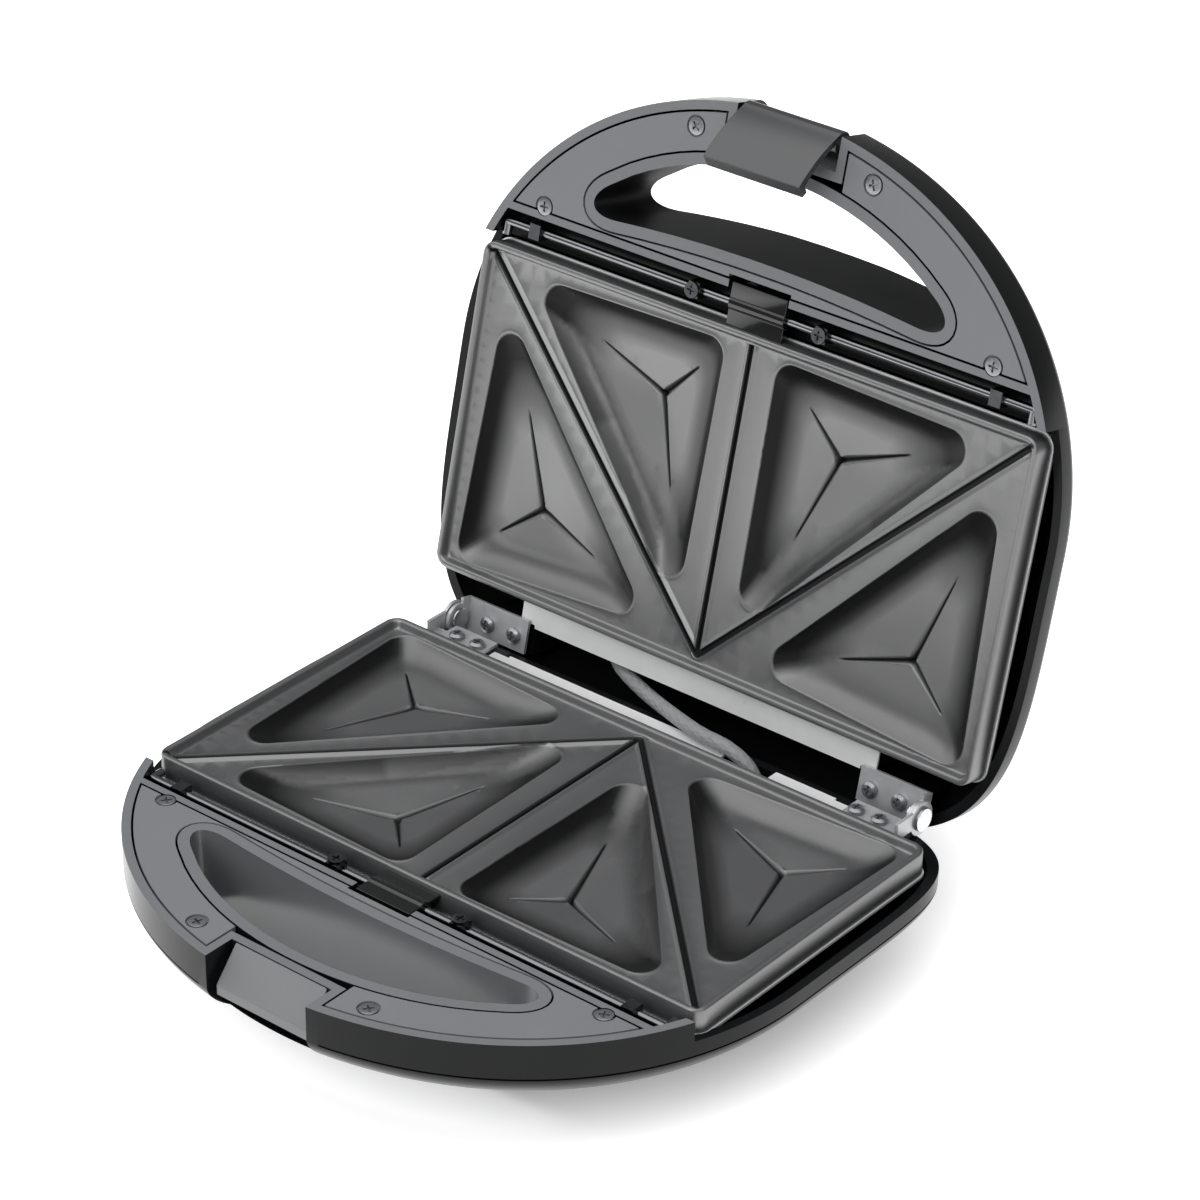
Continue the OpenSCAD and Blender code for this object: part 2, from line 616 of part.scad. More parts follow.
// Lid bracket, drawn in the lid's half frame.
module lid_bracket() {
  color("#b9bcbf") lid_place() difference() {
    union() {
      translate([lid_flange_x, 65, -lid_flange_z - bracket_t])
        cube([lid_ear_x + bracket_t - lid_flange_x, 12, bracket_t]);
      translate([lid_ear_x, 65, -lid_flange_z - bracket_t]) cube([bracket_t, 12, 5]);
      translate([lid_ear_x, hinge_y, -hinge_z]) rod_x(0, bracket_t, ear_r - 0.6);
    }
    translate([lid_ear_x - 2, hinge_y, -hinge_z]) rod_x(0, 6, hinge_pin_d / 2 + run);
    for (x = lid_hinge_screws) translate([x, lid_screw_y, -8]) cylinder(h = 8, r = clear_r);
  }
}
module lid_bracket_right() { lid_bracket(); }
module lid_bracket_left() { mirror([1, 0, 0]) lid_bracket(); }
module lid_bracket_screws() {
  color("silver") lid_place() both() for (x = lid_hinge_screws)
    translate([x, lid_screw_y, -lid_flange_z]) pan_screw(12);
}

// ---------- plate retaining rod and lock ----------
module half_rod() {
  translate([0, rod_y, rod_z]) {
    rod_x(-rod_end, rod_end, rod_r);
    both() translate([rod_end, 0, 0]) {
      sphere(rod_r);
      rotate([-90, 0, 0]) cylinder(h = 4.5, r = rod_r);
    }
  }
}
inner_clips = [-25.4, 25.4];           // rod clips beside the lock, which show their screws
outer_clips = [-92, 92];
module half_rod_clips() {
  for (x = concat(inner_clips, outer_clips)) translate([x, 0, 0]) {
    difference() {
      translate([-2.2, rod_y - 2.6, channel_z]) cube([4.4, 5.2, rod_z - channel_z + 2.6]);
      translate([-4, rod_y, rod_z]) rod_x(0, 8, rod_r + 0.02);
    }
  }
  for (x = inner_clips) translate([x, rod_y, rod_z + 2.6]) difference() {
    cylinder(h = 1.2, r = 2.7);
    for (a = [0, 90]) rotate(a) translate([-1.5, -0.35, 0.5]) cube([3, 0.7, 2]);
  }
}
// Rocking lock: its tongue lies over the plate's edge, its finger end in a slot of the handle.
module half_lock() {
  difference() {
    union() {
      translate([0, rod_y, rod_z]) rod_x(-lock_w / 2, lock_w / 2, lock_r);
      translate([-lock_w / 2, rod_y - 7, rod_z - 1.2]) cube([lock_w, 7, lock_r + 0.6]);
      translate([-lock_w / 2, rod_y, -land_depth + 0.05]) cube([lock_w, lock_tongue, 1.1]);
    }
    translate([-lock_w, rod_y, rod_z]) rod_x(0, 2 * lock_w, rod_r + run);
  }
}
module lower_rod() { color("#e2e4e6") base_place() half_rod(); }
module lower_rod_clips() { color("#a9abad") base_place() half_rod_clips(); }
module lower_lock() { color("#26272a") base_place() half_lock(); }

// ---------- lid ----------
module lid_shell() {
  color("#2b2c2e") lid_place() difference() {
    union() {
      half_shell(lid_rear);
      pan_posts();
      both() intersection() {
        dome_solid(lid_rear);
        translate([lid_flange_x, lid_screw_y - 4, -half_depth])
          cube([22, 10.2, half_depth - lid_flange_z - bracket_t]);
      }
    }
    pan_post_holes();
    both() for (x = lid_hinge_screws) translate([x, lid_screw_y, -16]) cylinder(h = 14, r = pilot_r);
    both() translate([lens_spot[0], lens_spot[1], -half_depth - 1]) cylinder(h = 8, r = 4.1);
    translate([-big / 2, pin_y, pin_z]) intersection() {
      rod_x(0, big, pin_r + run);
      translate([big / 2 - 24, -5, -5]) cube([48, 10, 10]);
    }
  }
}
module lid_handle_cover() { color("#55575a") lid_place() handle_cover_drilled(); }
module lid_handle_screws() { color("silver") lid_place() handle_screw_set(); }
module upper_plate() { color("#4b4c4e") lid_place() half_plate(); }
module upper_pan() { color("#c9cbcd") lid_place() half_pan(); }
module upper_pan_screws() { color("silver") lid_place() half_pan_screws(); }
module upper_element() { color("#8a8478") lid_place() half_element(); }
module upper_element_supports() { color("#b4b6b8") lid_place() half_element_supports(); }
module upper_rod() { color("#e2e4e6") lid_place() half_rod(); }
module upper_rod_clips() { color("#a9abad") lid_place() half_rod_clips(); }
module upper_lock() { color("#26272a") lid_place() half_lock(); }
lens_spot = [9, 8];                    // lamp lenses on top of the lid
module lens() {
  translate([0, lens_spot[1], -half_depth]) {
    translate([0, 0, -0.9]) cylinder(h = 0.9, r1 = 4.2, r2 = 5);
    cylinder(h = bottom_t + 1, r = 4);
  }
}
module power_lens() { color("#c8281e") lid_place() translate([lens_spot[0], 0, 0]) lens(); }
module ready_lens() { color("#2f9e44") lid_place() translate([-lens_spot[0], 0, 0]) lens(); }
module lamp_holder() {
  color("#d9d6cc") lid_place() difference() {
    translate([-16, lens_spot[1] - 6, bottom_t - half_depth + 1.1]) cube([32, 12, 7]);
    both() translate([lens_spot[0], lens_spot[1], -half_depth]) cylinder(h = 30, r = 3.3);
  }
}
module neon_lamps() {
  color("#f0c9a0") lid_place() both()
    translate([lens_spot[0], lens_spot[1], bottom_t - half_depth + 1.6]) {
    cylinder(h = 5, r = 2.9);
    translate([0, 0, 5]) cylinder(h = 1.5, r1 = 2.9, r2 = 0.6);
  }
}

// ---------- latch ----------
// Clip profile in the y-z plane, hooked, with the pin at the origin and +z towards the base.
function clip_bow(t) = -4 - 1.2 * sin(180 * t);
module clip_profile() {
  steps = 10;
  outer = [for (k = [0:steps]) let (t = k / steps) [clip_bow(t), t * clip_reach]];
  inner = [for (k = [steps:-1:0]) let (t = k / steps) [clip_bow(t) + 2.2, t * (clip_reach - 2.5)]];
  polygon(concat(outer, [[0.8, clip_reach], [0.8, clip_reach - 2.5]], inner));
}
module clip_place() {
  lid_place() translate([0, pin_y, pin_z]) rotate([-clip_lean, 0, 0]) children();
}
module latch_pin() { color("#c8cacc") clip_place() rod_x(-23.2, 23.2, pin_r); }
module latch_spring() {
  turns = 5;
  steps = 10 * turns;
  spring_w = 6.8;
  coil_r = 2.1;
  path = [for (k = [0:steps]) let (t = 36 * k)
    [spring_w * (k / steps - 0.5), coil_r * cos(t), coil_r * sin(t)]];
  color("#b0b2b4") clip_place() tube(path, 0.4, 6);
}
module latch_clip() {
  color("#2a2b2d") clip_place() difference() {
    union() {
      rotate([90, 0, 90]) translate([0, 0, -clip_w / 2]) linear_extrude(clip_w) clip_profile();
      rod_x(-clip_w / 2, clip_w / 2, 4);
    }
    rod_x(-big / 2, big / 2, pin_r + 0.02);
    rod_x(-4.5, 4.5, 3);
  }
}

// ---------- wires across the hinge ----------
module wire_sleeve() {
  color("#a3a5a8") translate([0, -centre_y, 0]) tube(smooth(sleeve_route, 3), sleeve_r, 10);
}

base_shell();
base_cover();
base_cover_screws();
rubber_feet();
base_handle_cover();
base_handle_screws();
latch_catch();
lower_plate();
lower_pan();
lower_pan_screws();
lower_element();
lower_element_supports();
thermostat();
thermal_fuse();
terminal_block();
inlet_wires();
cord_bush();
earth_tag();
base_bracket_left();
base_bracket_right();
base_bracket_screws();
hinge_rivet_left();
hinge_rivet_right();
lower_rod();
lower_rod_clips();
lower_lock();
wire_sleeve();
lid_shell();
lid_handle_cover();
lid_handle_screws();
upper_plate();
upper_pan();
upper_pan_screws();
upper_element();
upper_element_supports();
lid_bracket_left();
lid_bracket_right();
lid_bracket_screws();
upper_rod();
upper_rod_clips();
upper_lock();
power_lens();
ready_lens();
lamp_holder();
neon_lamps();
latch_pin();
latch_spring();
latch_clip();
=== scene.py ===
import math
import bmesh
import bpy
import numpy as np
from mathutils import Matrix, Vector
from mathutils.geometry import delaunay_2d_cdt


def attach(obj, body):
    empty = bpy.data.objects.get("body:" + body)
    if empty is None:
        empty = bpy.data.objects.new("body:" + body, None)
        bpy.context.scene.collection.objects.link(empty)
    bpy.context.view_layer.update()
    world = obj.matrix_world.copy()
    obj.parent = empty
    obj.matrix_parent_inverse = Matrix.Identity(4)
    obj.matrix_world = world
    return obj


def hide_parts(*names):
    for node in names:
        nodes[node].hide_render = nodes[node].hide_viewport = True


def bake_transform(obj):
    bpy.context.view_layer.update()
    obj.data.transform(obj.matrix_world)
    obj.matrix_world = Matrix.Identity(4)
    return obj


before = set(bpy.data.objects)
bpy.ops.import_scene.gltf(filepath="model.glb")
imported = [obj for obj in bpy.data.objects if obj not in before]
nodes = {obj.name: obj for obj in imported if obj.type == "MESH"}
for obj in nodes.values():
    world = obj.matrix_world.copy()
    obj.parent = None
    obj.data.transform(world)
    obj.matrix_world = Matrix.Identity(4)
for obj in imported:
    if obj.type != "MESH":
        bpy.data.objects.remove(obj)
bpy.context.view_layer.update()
scene = bpy.context.scene

# ---------- camera ----------
# A long lens at the front right, well above the end of the handle, which looks down across the
# open plates. It is turned by a hair about its own axis.
def put(name, data):
    """A new object in the scene."""
    obj = bpy.data.objects.new(name, data)
    scene.collection.objects.link(obj)
    return obj


eye = Vector((0.72005, -0.86252, 0.76290))
look = Vector((-0.54744, 0.67066, -0.50053)).normalized()
roll = 0.0098
across = look.cross(Vector((0, 0, 1))).normalized()
upward = across.cross(look)
right_side = across * math.cos(roll) + upward * math.sin(roll)
top_side = upward * math.cos(roll) - across * math.sin(roll)
lens_data = bpy.data.cameras.new("studio_camera")
lens_data.lens, lens_data.sensor_width, lens_data.clip_end = 126.1, 36, 10
camera = put("studio_camera", lens_data)
camera.matrix_world = Matrix.Translation(eye) @ Matrix((right_side, top_side, -look)).transposed().to_4x4()
scene.camera = camera

# ---------- studio ----------
# A white table that keeps the toaster's shadow and adds a painted shadow round it, a white surround, large
# soft boxes overhead and in front, and a weaker one at the left.
pure_white = (1, 1, 1, 1)


def fill(tree, socket, value):
    """Gives an input a value, or joins it to a socket, a number or a node's first output."""
    if isinstance(value, bpy.types.Node):
        value = value.outputs[0]
    value = getattr(value, "socket", value)
    if isinstance(value, bpy.types.NodeSocket):
        tree.links.new(value, socket)
    else:
        socket.default_value = value


def node(tree, kind, *values, **settings):
    """A new node. Values fill its inputs in turn; settings fill named inputs and properties."""
    made = tree.nodes.new(kind)
    for name, value in settings.items():
        label = name.replace("_", " ")
        if label in made.inputs:
            fill(tree, made.inputs[label], value)
        else:
            setattr(made, name, value)
    for socket, value in zip(made.inputs, values):
        fill(tree, socket, value)
    return made


def carried_over(tree, value, span, to):
    """A number carried over from one span of numbers to another."""
    return node(tree, "ShaderNodeMapRange", value, *span, *to)


def lit_or_seen(tree, for_light, for_eyes):
    """One shader for the light that falls on things, and another for camera, mirrors and glass."""
    path = node(tree, "ShaderNodeLightPath").outputs
    seen = path["Is Camera Ray"]
    for other in ("Is Glossy Ray", "Is Transmission Ray"):
        seen = node(tree, "ShaderNodeMath", seen, path[other], operation="MAXIMUM")
    return node(tree, "ShaderNodeMixShader", seen, for_light, for_eyes)


scene.view_settings.view_transform = "Standard"
world = bpy.data.worlds.new("studio_surround")
scene.world = world
world.use_nodes = True
tree = world.node_tree
tree.nodes.clear()
in_mirror = node(tree, "ShaderNodeLightPath").outputs["Is Glossy Ray"]
dim_in_mirrors = carried_over(tree, in_mirror, (0.0, 1.0), (1.0, 0.22))
room_light = node(tree, "ShaderNodeBackground", Color=pure_white, Strength=0.30)
room_seen = node(tree, "ShaderNodeBackground", Color=pure_white, Strength=dim_in_mirrors)
node(tree, "ShaderNodeOutputWorld", lit_or_seen(tree, room_light, room_seen))

table_mesh = bpy.data.meshes.new("table")
table_mesh.from_pydata([(-4, -4, 0), (4, -4, 0), (4, 4, 0), (-4, 4, 0)], [], [(0, 1, 2, 3)])
table = put("table", table_mesh)
paper = bpy.data.materials.new("table_paper")
paper.use_nodes = True
tree = paper.node_tree
tree.nodes.clear()
where = node(tree, "ShaderNodeTexCoord").outputs["Object"]
squeezed = node(tree, "ShaderNodeMapping", Vector=where, Scale=(1.0, 0.86, 1.0))
far = node(tree, "ShaderNodeVectorMath", squeezed, operation="LENGTH").outputs["Value"]
# Painted shadow: the glow fades to nothing close to the toaster, so the table is darker there; the diffuse
# part keeps the real shadow too.
glow_outside_painted_shadow = carried_over(tree, far, (0.07, 0.15), (0.0, 1.1))
glow = node(tree, "ShaderNodeEmission", Color=pure_white, Strength=glow_outside_painted_shadow)
catch = node(tree, "ShaderNodeBsdfDiffuse", Color=(0.80, 0.80, 0.80, 1))
plain = node(tree, "ShaderNodeBsdfDiffuse", Color=(0.55, 0.55, 0.55, 1))
seen_table = node(tree, "ShaderNodeAddShader", catch, glow)
node(tree, "ShaderNodeOutputMaterial", lit_or_seen(tree, plain, seen_table))
table_mesh.materials.append(paper)

for name, spot, size, power in (
    ("soft_box_top", (-0.10, -0.40, 1.7), 2.6, 30),
    ("soft_box_front", (0.1, -1.6, 1.1), 1.2, 10),
    ("soft_box_left", (-1.5, -0.3, 0.8), 0.9, 4),
):
    light = bpy.data.lights.new(name, "AREA")
    light.size, light.energy = size, power
    lamp = put(name, light)
    lamp.location = spot
    lamp.rotation_euler = (Vector((0, 0, 0.08)) - lamp.location).to_track_quat("-Z", "Y").to_euler()

# ---------- housings ----------
# Two halves moulded in black phenolic plastic: a domed skin with a hollow handle, a finger opening, a
# latch notch and a channel for the plate lock's rod. The grey on the rim tops, and the lighter grey in the
# base's finger opening, are painted reflection.
# Each half is drawn in millimetres from the closing plane, and then set in place.
closing_z, centre_y = 46, 11.5  # height of the closing plane, and the plates' middle from the part's
hinge_y, hinge_z, lid_open = 71.9, -2.15, 103.7  # hinge axis, and the open lid's angle in degrees
to_metres = Matrix.Diagonal((0.001, 0.001, 0.001, 1))
in_base = to_metres @ Matrix.Translation((0, -centre_y, closing_z))
in_lid = (to_metres @ Matrix.Translation((0, hinge_y - centre_y, closing_z + hinge_z))
          @ Matrix.Rotation(math.radians(-lid_open), 4, "X")
          @ Matrix.Translation((0, -hinge_y, -hinge_z)) @ Matrix.Diagonal((1, 1, -1, 1)))

# Outline: half width, front reach and squareness, middle, and how much less the rear draws in.
half_width, front_reach, front_power, plan_y, rear_slope = 119.94, 109.42, 2.05, -20, 0.15
half_depth, band_depth, wall, floor_t, face_z, web = 42.0, 13, 3.0, 2.4, -1.0, 2.5
skin_depth = half_depth - 0.5  # inner walls end inside the skin
beyond, front_end = 400, -150  # past the part on every side, and past its front
base_rear, lid_rear = (94.0, 7.0), (108.0, 4.5)  # reach and squareness of each half's rear
channel_y, block_y, channel_z = -70, -60.5, -10  # front, rear and floor of the rod's channel
notch_w, notch_y, notch_z = 40.6, -116.6, -24
handle_screws = [(89.3, -74.4), (34.8, -116.5)]
screw_r, pilot_r, clear_r, head_r = 1.35, 1.4, 1.7, 2.9
lock_w, plate_w, plate_d, plate_h = 22, 222, 115.4, 8.5


def worked_out(operation, *values):
    """The number that one step of arithmetic gives from numbers of a node tree."""
    tree = next(value.tree for value in values if isinstance(value, Number))
    return Number(tree, node(tree, "ShaderNodeMath", *values, operation=operation).outputs[0])


class Number:
    """A number of a node tree that is written in ordinary sums."""

    def __init__(self, tree, socket):
        self.tree, self.socket = tree, socket

    def __add__(self, other):
        return worked_out("ADD", self, other)

    def __sub__(self, other):
        return worked_out("SUBTRACT", self, other)

    def __rsub__(self, other):
        return worked_out("SUBTRACT", other, self)

    def __mul__(self, other):
        return worked_out("MULTIPLY", self, other)

    def __truediv__(self, other):
        return worked_out("DIVIDE", self, other)

    def __rtruediv__(self, other):
        return worked_out("DIVIDE", other, self)

    def __pow__(self, other):
        return worked_out("POWER", self, other)

    def __gt__(self, other):
        return worked_out("GREATER_THAN", self, other)

    def __lt__(self, other):
        return worked_out("LESS_THAN", self, other)

    __radd__, __rmul__ = __add__, __mul__


def geometry_tree(name, **inputs):
    """A new tree, and its inputs by name."""
    tree = bpy.data.node_groups.new(name, "GeometryNodeTree")
    inputs = {"Geometry": "Geometry", **{label.replace("_", " "): kind for label, kind in inputs.items()}}
    for label, kind in inputs.items():
        tree.interface.new_socket(label, in_out="INPUT", socket_type="NodeSocket" + kind)
    tree.interface.new_socket("Geometry", in_out="OUTPUT", socket_type="NodeSocketGeometry")
    sockets = node(tree, "NodeGroupInput").outputs
    return tree, {label: Number(tree, sockets[label]) for label in inputs}


def ended(tree, geometry, material):
    """The tree, ended with real geometry in one material."""
    real = node(tree, "GeometryNodeRealizeInstances", geometry)
    coated = node(tree, "GeometryNodeSetMaterial", Geometry=real, Material=material)
    node(tree, "NodeGroupOutput", coated)
    return tree


def shaped_mesh(obj):
    """The object's shape after its modifiers, as a plain mesh; the object is removed."""
    bpy.context.view_layer.update()
    mesh = bpy.data.meshes.new_from_object(obj.evaluated_get(bpy.context.evaluated_depsgraph_get()))
    bpy.data.objects.remove(obj)
    return mesh


def grown(tree, values, start=None):
    """The plain mesh that a geometry tree makes from a start mesh and named input values."""
    obj = put(tree.name, start or bpy.data.meshes.new(tree.name))
    modifier = obj.modifiers.new(tree.name, "NODES")
    modifier.node_group = tree
    for item in tree.interface.items_tree:
        if item.in_out == "INPUT" and item.name in values:
            modifier[item.identifier] = values[item.name]
    return shaped_mesh(obj)


def dome_inset(below_band):
    """How far the dome has drawn in at a depth below the upright band."""
    return 4.5 * (below_band / 7) ** 1.65


def domed_shape_tree():
    """One half as a closed form: an upright band under a flat top, and a dome down to the bottom."""
    tree, given = geometry_tree(
        "domed_half", Rear_Reach="Float", Rear_Power="Float", Least_Inset="Float", Extra_Inset="Float",
        Dome_Shift="Float", Top="Float", Depth="Float", Around="Int", Rows="Int", Material="Material")
    grid = node(tree, "GeometryNodeMeshGrid", Vertices_X=given["Around"] + 1,
                Vertices_Y=given["Rows"] + 1)
    part = node(tree, "ShaderNodeSeparateXYZ", node(tree, "GeometryNodeInputPosition")).outputs
    turn = (Number(tree, part[0]) + 0.5) * (2 * math.pi)
    row = (Number(tree, part[1]) + 0.5) * given["Rows"]
    run = worked_out("MINIMUM", worked_out("MAXIMUM", (row - 2) / (given["Rows"] - 3), 0), 1)
    below_top = row > 1.5
    depth = (below_top * (band_depth + run * (given["Depth"] - band_depth))
             + (1 - below_top) * given["Top"])
    spread = (row > 0.5) * (row < given["Rows"] - 0.5)  # the first and last rows close the ends
    below_band = worked_out("MAXIMUM", depth + given["Dome Shift"] - band_depth, 0)
    inset = worked_out("MAXIMUM", dome_inset(below_band) + given["Extra Inset"], given["Least Inset"])
    cosine, sine = worked_out("COSINE", turn), worked_out("SINE", turn)
    front = sine < 0
    rear = 1 - front
    power = 2 / (front * front_power + rear * given["Rear Power"])
    length = front * (front_reach - inset) + rear * (given["Rear Reach"] - inset * rear_slope)

    least_wave = 0.00005  # smaller ones are a sine's rounding, and count as none

    def bent(wave, reach):
        size = worked_out("ABSOLUTE", wave)
        return size ** power * (size > least_wave) * worked_out("SIGN", wave) * reach * spread

    place = node(tree, "ShaderNodeCombineXYZ", bent(cosine, half_width - inset),
                 bent(sine, length) + plan_y, depth * -1)
    moved = node(tree, "GeometryNodeSetPosition", Geometry=grid, Position=place)
    merged = node(tree, "GeometryNodeMergeByDistance", Geometry=moved, Distance=0.003)
    return ended(tree, merged, given["Material"])


def turned_out(mesh):
    """The same mesh with every face pointing outwards."""
    work = bmesh.new()
    work.from_mesh(mesh)
    bmesh.ops.recalc_face_normals(work, faces=work.faces)
    if work.calc_volume(signed=True) < 0:
        bmesh.ops.reverse_faces(work, faces=work.faces)
    work.to_mesh(mesh)
    work.free()
    return mesh


def as_mesh(work, name):
    """A new mesh from a bmesh, which is freed."""
    mesh = bpy.data.meshes.new(name)
    work.to_mesh(mesh)
    work.free()
    return mesh


def slab(outlines, low, high):
    """Upright solids over plan outlines, from one height to another."""
    work = bmesh.new()
    for shape in outlines:
        ring = [work.verts.new((x, y, low)) for x, y in shape]
        face = work.faces.new(ring)
        grown_face = bmesh.ops.extrude_face_region(work, geom=[face])["geom"]
        bmesh.ops.translate(work, vec=(0, 0, high - low),
                            verts=[v for v in grown_face if isinstance(v, bmesh.types.BMVert)])
    return turned_out(as_mesh(work, "slab"))


def box(x0, x1, y0, y1, z0, z1):
    return slab([[(x0, y0), (x1, y0), (x1, y1), (x0, y1)]], z0, z1)


def pegs(spots, radius, low, high, end_radius=None, sides=40):
    """Upright round pegs, or cones where the top has another radius."""
    work = bmesh.new()
    for x, y in spots:
        bmesh.ops.create_cone(
            work, cap_ends=True, segments=sides, radius1=radius, radius2=end_radius or radius,
            depth=high - low, matrix=Matrix.Translation((x, y, (high + low) / 2)))
    return as_mesh(work, "pegs")


def carved(mesh, steps):
    """The mesh after it is joined to, cut by or kept within other meshes in turn."""
    obj = put("blank", mesh)
    tools = []
    for operation, tool_mesh in steps:
        tool = put("tool", tool_mesh)
        tools.append(tool)
        cut = obj.modifiers.new("carve", "BOOLEAN")
        cut.operation, cut.solver, cut.object = operation, "MANIFOLD", tool
    result = shaped_mesh(obj)
    for tool in tools:
        bpy.data.objects.remove(tool)
    return result


def both_sides(spots):
    """The spots and their mirror twins."""
    return [(side * x, y) for side in (-1, 1) for x, y in spots]


def signed_power(value, power):
    return math.copysign(abs(value) ** power, value)


def plan(inset, rear_reach, rear_power, count=256):
    """Plan outline of a housing, drawn in by inset."""
    points = []
    for k in range(count):
        turn = 2 * math.pi * (k + 0.5) / count
        front = math.sin(turn) < 0
        power = 2 / (front_power if front else rear_power)
        reach = front_reach - inset if front else rear_reach - rear_slope * inset
        points.append(((half_width - inset) * signed_power(math.cos(turn), power),
                       plan_y + reach * signed_power(math.sin(turn), power)))
    return points


def bezier(points, steps):
    """A curve from the first of four points to the last."""
    curve = []
    for k in range(steps + 1):
        t = k / steps
        weights = ((1 - t) ** 3, 3 * t * (1 - t) ** 2, 3 * t * t * (1 - t), t ** 3)
        curve.append(tuple(sum(w * p[i] for w, p in zip(weights, points)) for i in (0, 1)))
    return curve


def offset(shape, distance):
    """A clockwise outline moved outwards."""
    moved = []
    for k, (x, y) in enumerate(shape):
        ahead, behind = shape[(k + 1) % len(shape)], shape[k - 1]
        dx, dy = ahead[0] - behind[0], ahead[1] - behind[1]
        length = math.hypot(dx, dy)
        moved.append((x - distance * dy / length, y + distance * dx / length))
    return moved


def finger_opening():
    """Outline of the opening under the handle bar, clockwise from the left of its plate side."""
    def outer(x):
        return plan_y - 89 * (1 - (abs(x) / 99.5) ** 2.05) ** (1 / 2.05)

    def inner(x):
        return -81 + 3 * (x / 60) ** 2

    def turn(side):
        return bezier([(side * 60, inner(60)), (side * 71, inner(60) + 1),
                       (side * 73, outer(64) + 6), (side * 64, outer(64))], 14)

    return ([(x, inner(x)) for x in range(-54, 55, 6)] + turn(1)
            + [(x, outer(x)) for x in range(58, -59, -6)] + turn(-1)[::-1])


def rounded_box_plan(width, depth, radius, middle=(0, 0), steps=6):
    """Outline of a rectangle with round corners."""
    points = []
    for quarter in range(4):
        sx, sy = ((1, 1), (-1, 1), (-1, -1), (1, -1))[quarter]
        for k in range(steps + 1):
            angle = math.radians(90 * (quarter + k / steps))
            points.append((middle[0] + sx * (width / 2 - radius) + radius * math.cos(angle),
                           middle[1] + sy * (depth / 2 - radius) + radius * math.sin(angle)))
    return points


domed_half = domed_shape_tree()
fine, plain_grid = {"Around": 288, "Rows": 33}, {"Around": 192, "Rows": 23}


def domed(rear, grid, top, depth, least=0.0, extra=0.0, shift=0.0):
    """The domed form of a half, in millimetres, drawn in or shifted where that is asked for."""
    return turned_out(grown(domed_half, {
        "Rear Reach": rear[0], "Rear Power": rear[1], "Least Inset": least, "Extra Inset": extra,
        "Dome Shift": shift, "Top": top, "Depth": depth, "Material": phenolic, **grid}))


def twin_boxes(x0, x1, y0, y1, z0, z1):
    """A box at the right and its mirror twin at the left."""
    return slab([[(s * x0, y0), (s * x1, y0), (s * x1, y1), (s * x0, y1)][::s] for s in (-1, 1)], z0, z1)


def half_housing(rear, inside, cuts):
    """One moulded half: the skin, its inner walls and everything that is cut from it."""
    reach, power = rear
    hollow = domed((reach - wall * (1 - rear_slope), power), plain_grid, -5.0, half_depth - floor_t,
                   least=wall, extra=1.2, shift=floor_t)
    skin = carved(domed(rear, fine, -face_z, half_depth), [("DIFFERENCE", hollow)])
    opening = finger_opening()
    screw_spots = both_sides(handle_screws)
    walls = carved(slab([offset(opening, 3.8)], -half_depth, face_z), [
        ("DIFFERENCE", slab([opening], -half_depth - 1, 1)),
        ("UNION", box(-notch_w / 2 - wall, notch_w / 2 + wall, -140, notch_y + wall, notch_z - 2, face_z)),
        ("UNION", box(-half_width, half_width, channel_y - web, channel_y, -half_depth, face_z)),
        ("UNION", box(-half_width, half_width, channel_y - 1, block_y + 1.5, channel_z - web, channel_z)),
        ("UNION", pegs(screw_spots, 4, -half_depth, face_z - 2.2)),
        ("INTERSECT", domed(rear, fine, -face_z, skin_depth, extra=0.5))])
    return carved(skin, [
        ("UNION", walls), *inside,
        ("DIFFERENCE", box(-beyond, beyond, block_y, beyond, -8, 20)),
        ("DIFFERENCE", slab([opening], -beyond, beyond)),
        ("DIFFERENCE", box(-notch_w / 2, notch_w / 2, front_end, notch_y, notch_z, 40)),
        ("DIFFERENCE", box(-lock_w / 2 - 1, lock_w / 2 + 1, channel_y - 4, channel_y + 2, channel_z, 20)),
        ("DIFFERENCE", pegs(screw_spots, pilot_r, face_z - 12, 0)),
        ("DIFFERENCE", pegs(screw_spots, head_r + 0.2, face_z - 2, 0)),
        ("DIFFERENCE", slab([rounded_box_plan(plate_w + 1.8, plate_d + 1.8, 5.6)], -plate_h - 1.2, 10)),
        *cuts])


def finished(mesh, rounding, angle=32, segments=2, merge=0.02):
    """A carved mesh with its doubles merged, flat faces joined and edges softened."""
    work = bmesh.new()
    work.from_mesh(mesh)
    bmesh.ops.remove_doubles(work, verts=work.verts, dist=merge)
    bmesh.ops.dissolve_degenerate(work, edges=work.edges, dist=merge / 2)
    bmesh.ops.dissolve_limit(work, angle_limit=math.radians(0.6), verts=work.verts,
                             edges=work.edges, use_dissolve_boundaries=False)
    work.to_mesh(mesh)
    work.free()
    obj = put("finishing", mesh)
    if rounding:
        round_off = obj.modifiers.new("round_off", "BEVEL")
        round_off.width, round_off.segments = rounding, segments
        round_off.limit_method, round_off.angle_limit = "ANGLE", math.radians(angle)
        round_off.use_clamp_overlap = True
        round_off.harden_normals = True
    mesh.shade_smooth()
    mesh.set_sharp_from_angle(angle=math.radians(40))
    return shaped_mesh(obj)


def set_down(name, mesh, where, body, material, replaced):
    """Puts a finished mesh in its place on the toaster as a piece of one body."""
    mesh.transform(where)
    if where.determinant() < 0:
        mesh.flip_normals()
    mesh.name = name
    if material:
        mesh.materials.clear()
        mesh.materials.append(material)
    piece = put(name, mesh)
    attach(piece, body)
    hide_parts(replaced)


def colour(code):
    """A colour from its usual six hexadecimal digits."""
    parts = [int(code[k:k + 2], 16) / 255 for k in (0, 2, 4)]
    return tuple(c / 12.92 if c <= 0.04045 else ((c + 0.055) / 1.055) ** 2.4 for c in parts) + (1,)


def mixed(tree, share, first, second, blend="MIX"):
    """A colour between two, or one laid over the other."""
    made = node(tree, "ShaderNodeMix", share, data_type="RGBA", blend_type=blend)
    fill(tree, made.inputs[6], first)
    fill(tree, made.inputs[7], second)
    return made.outputs[2]


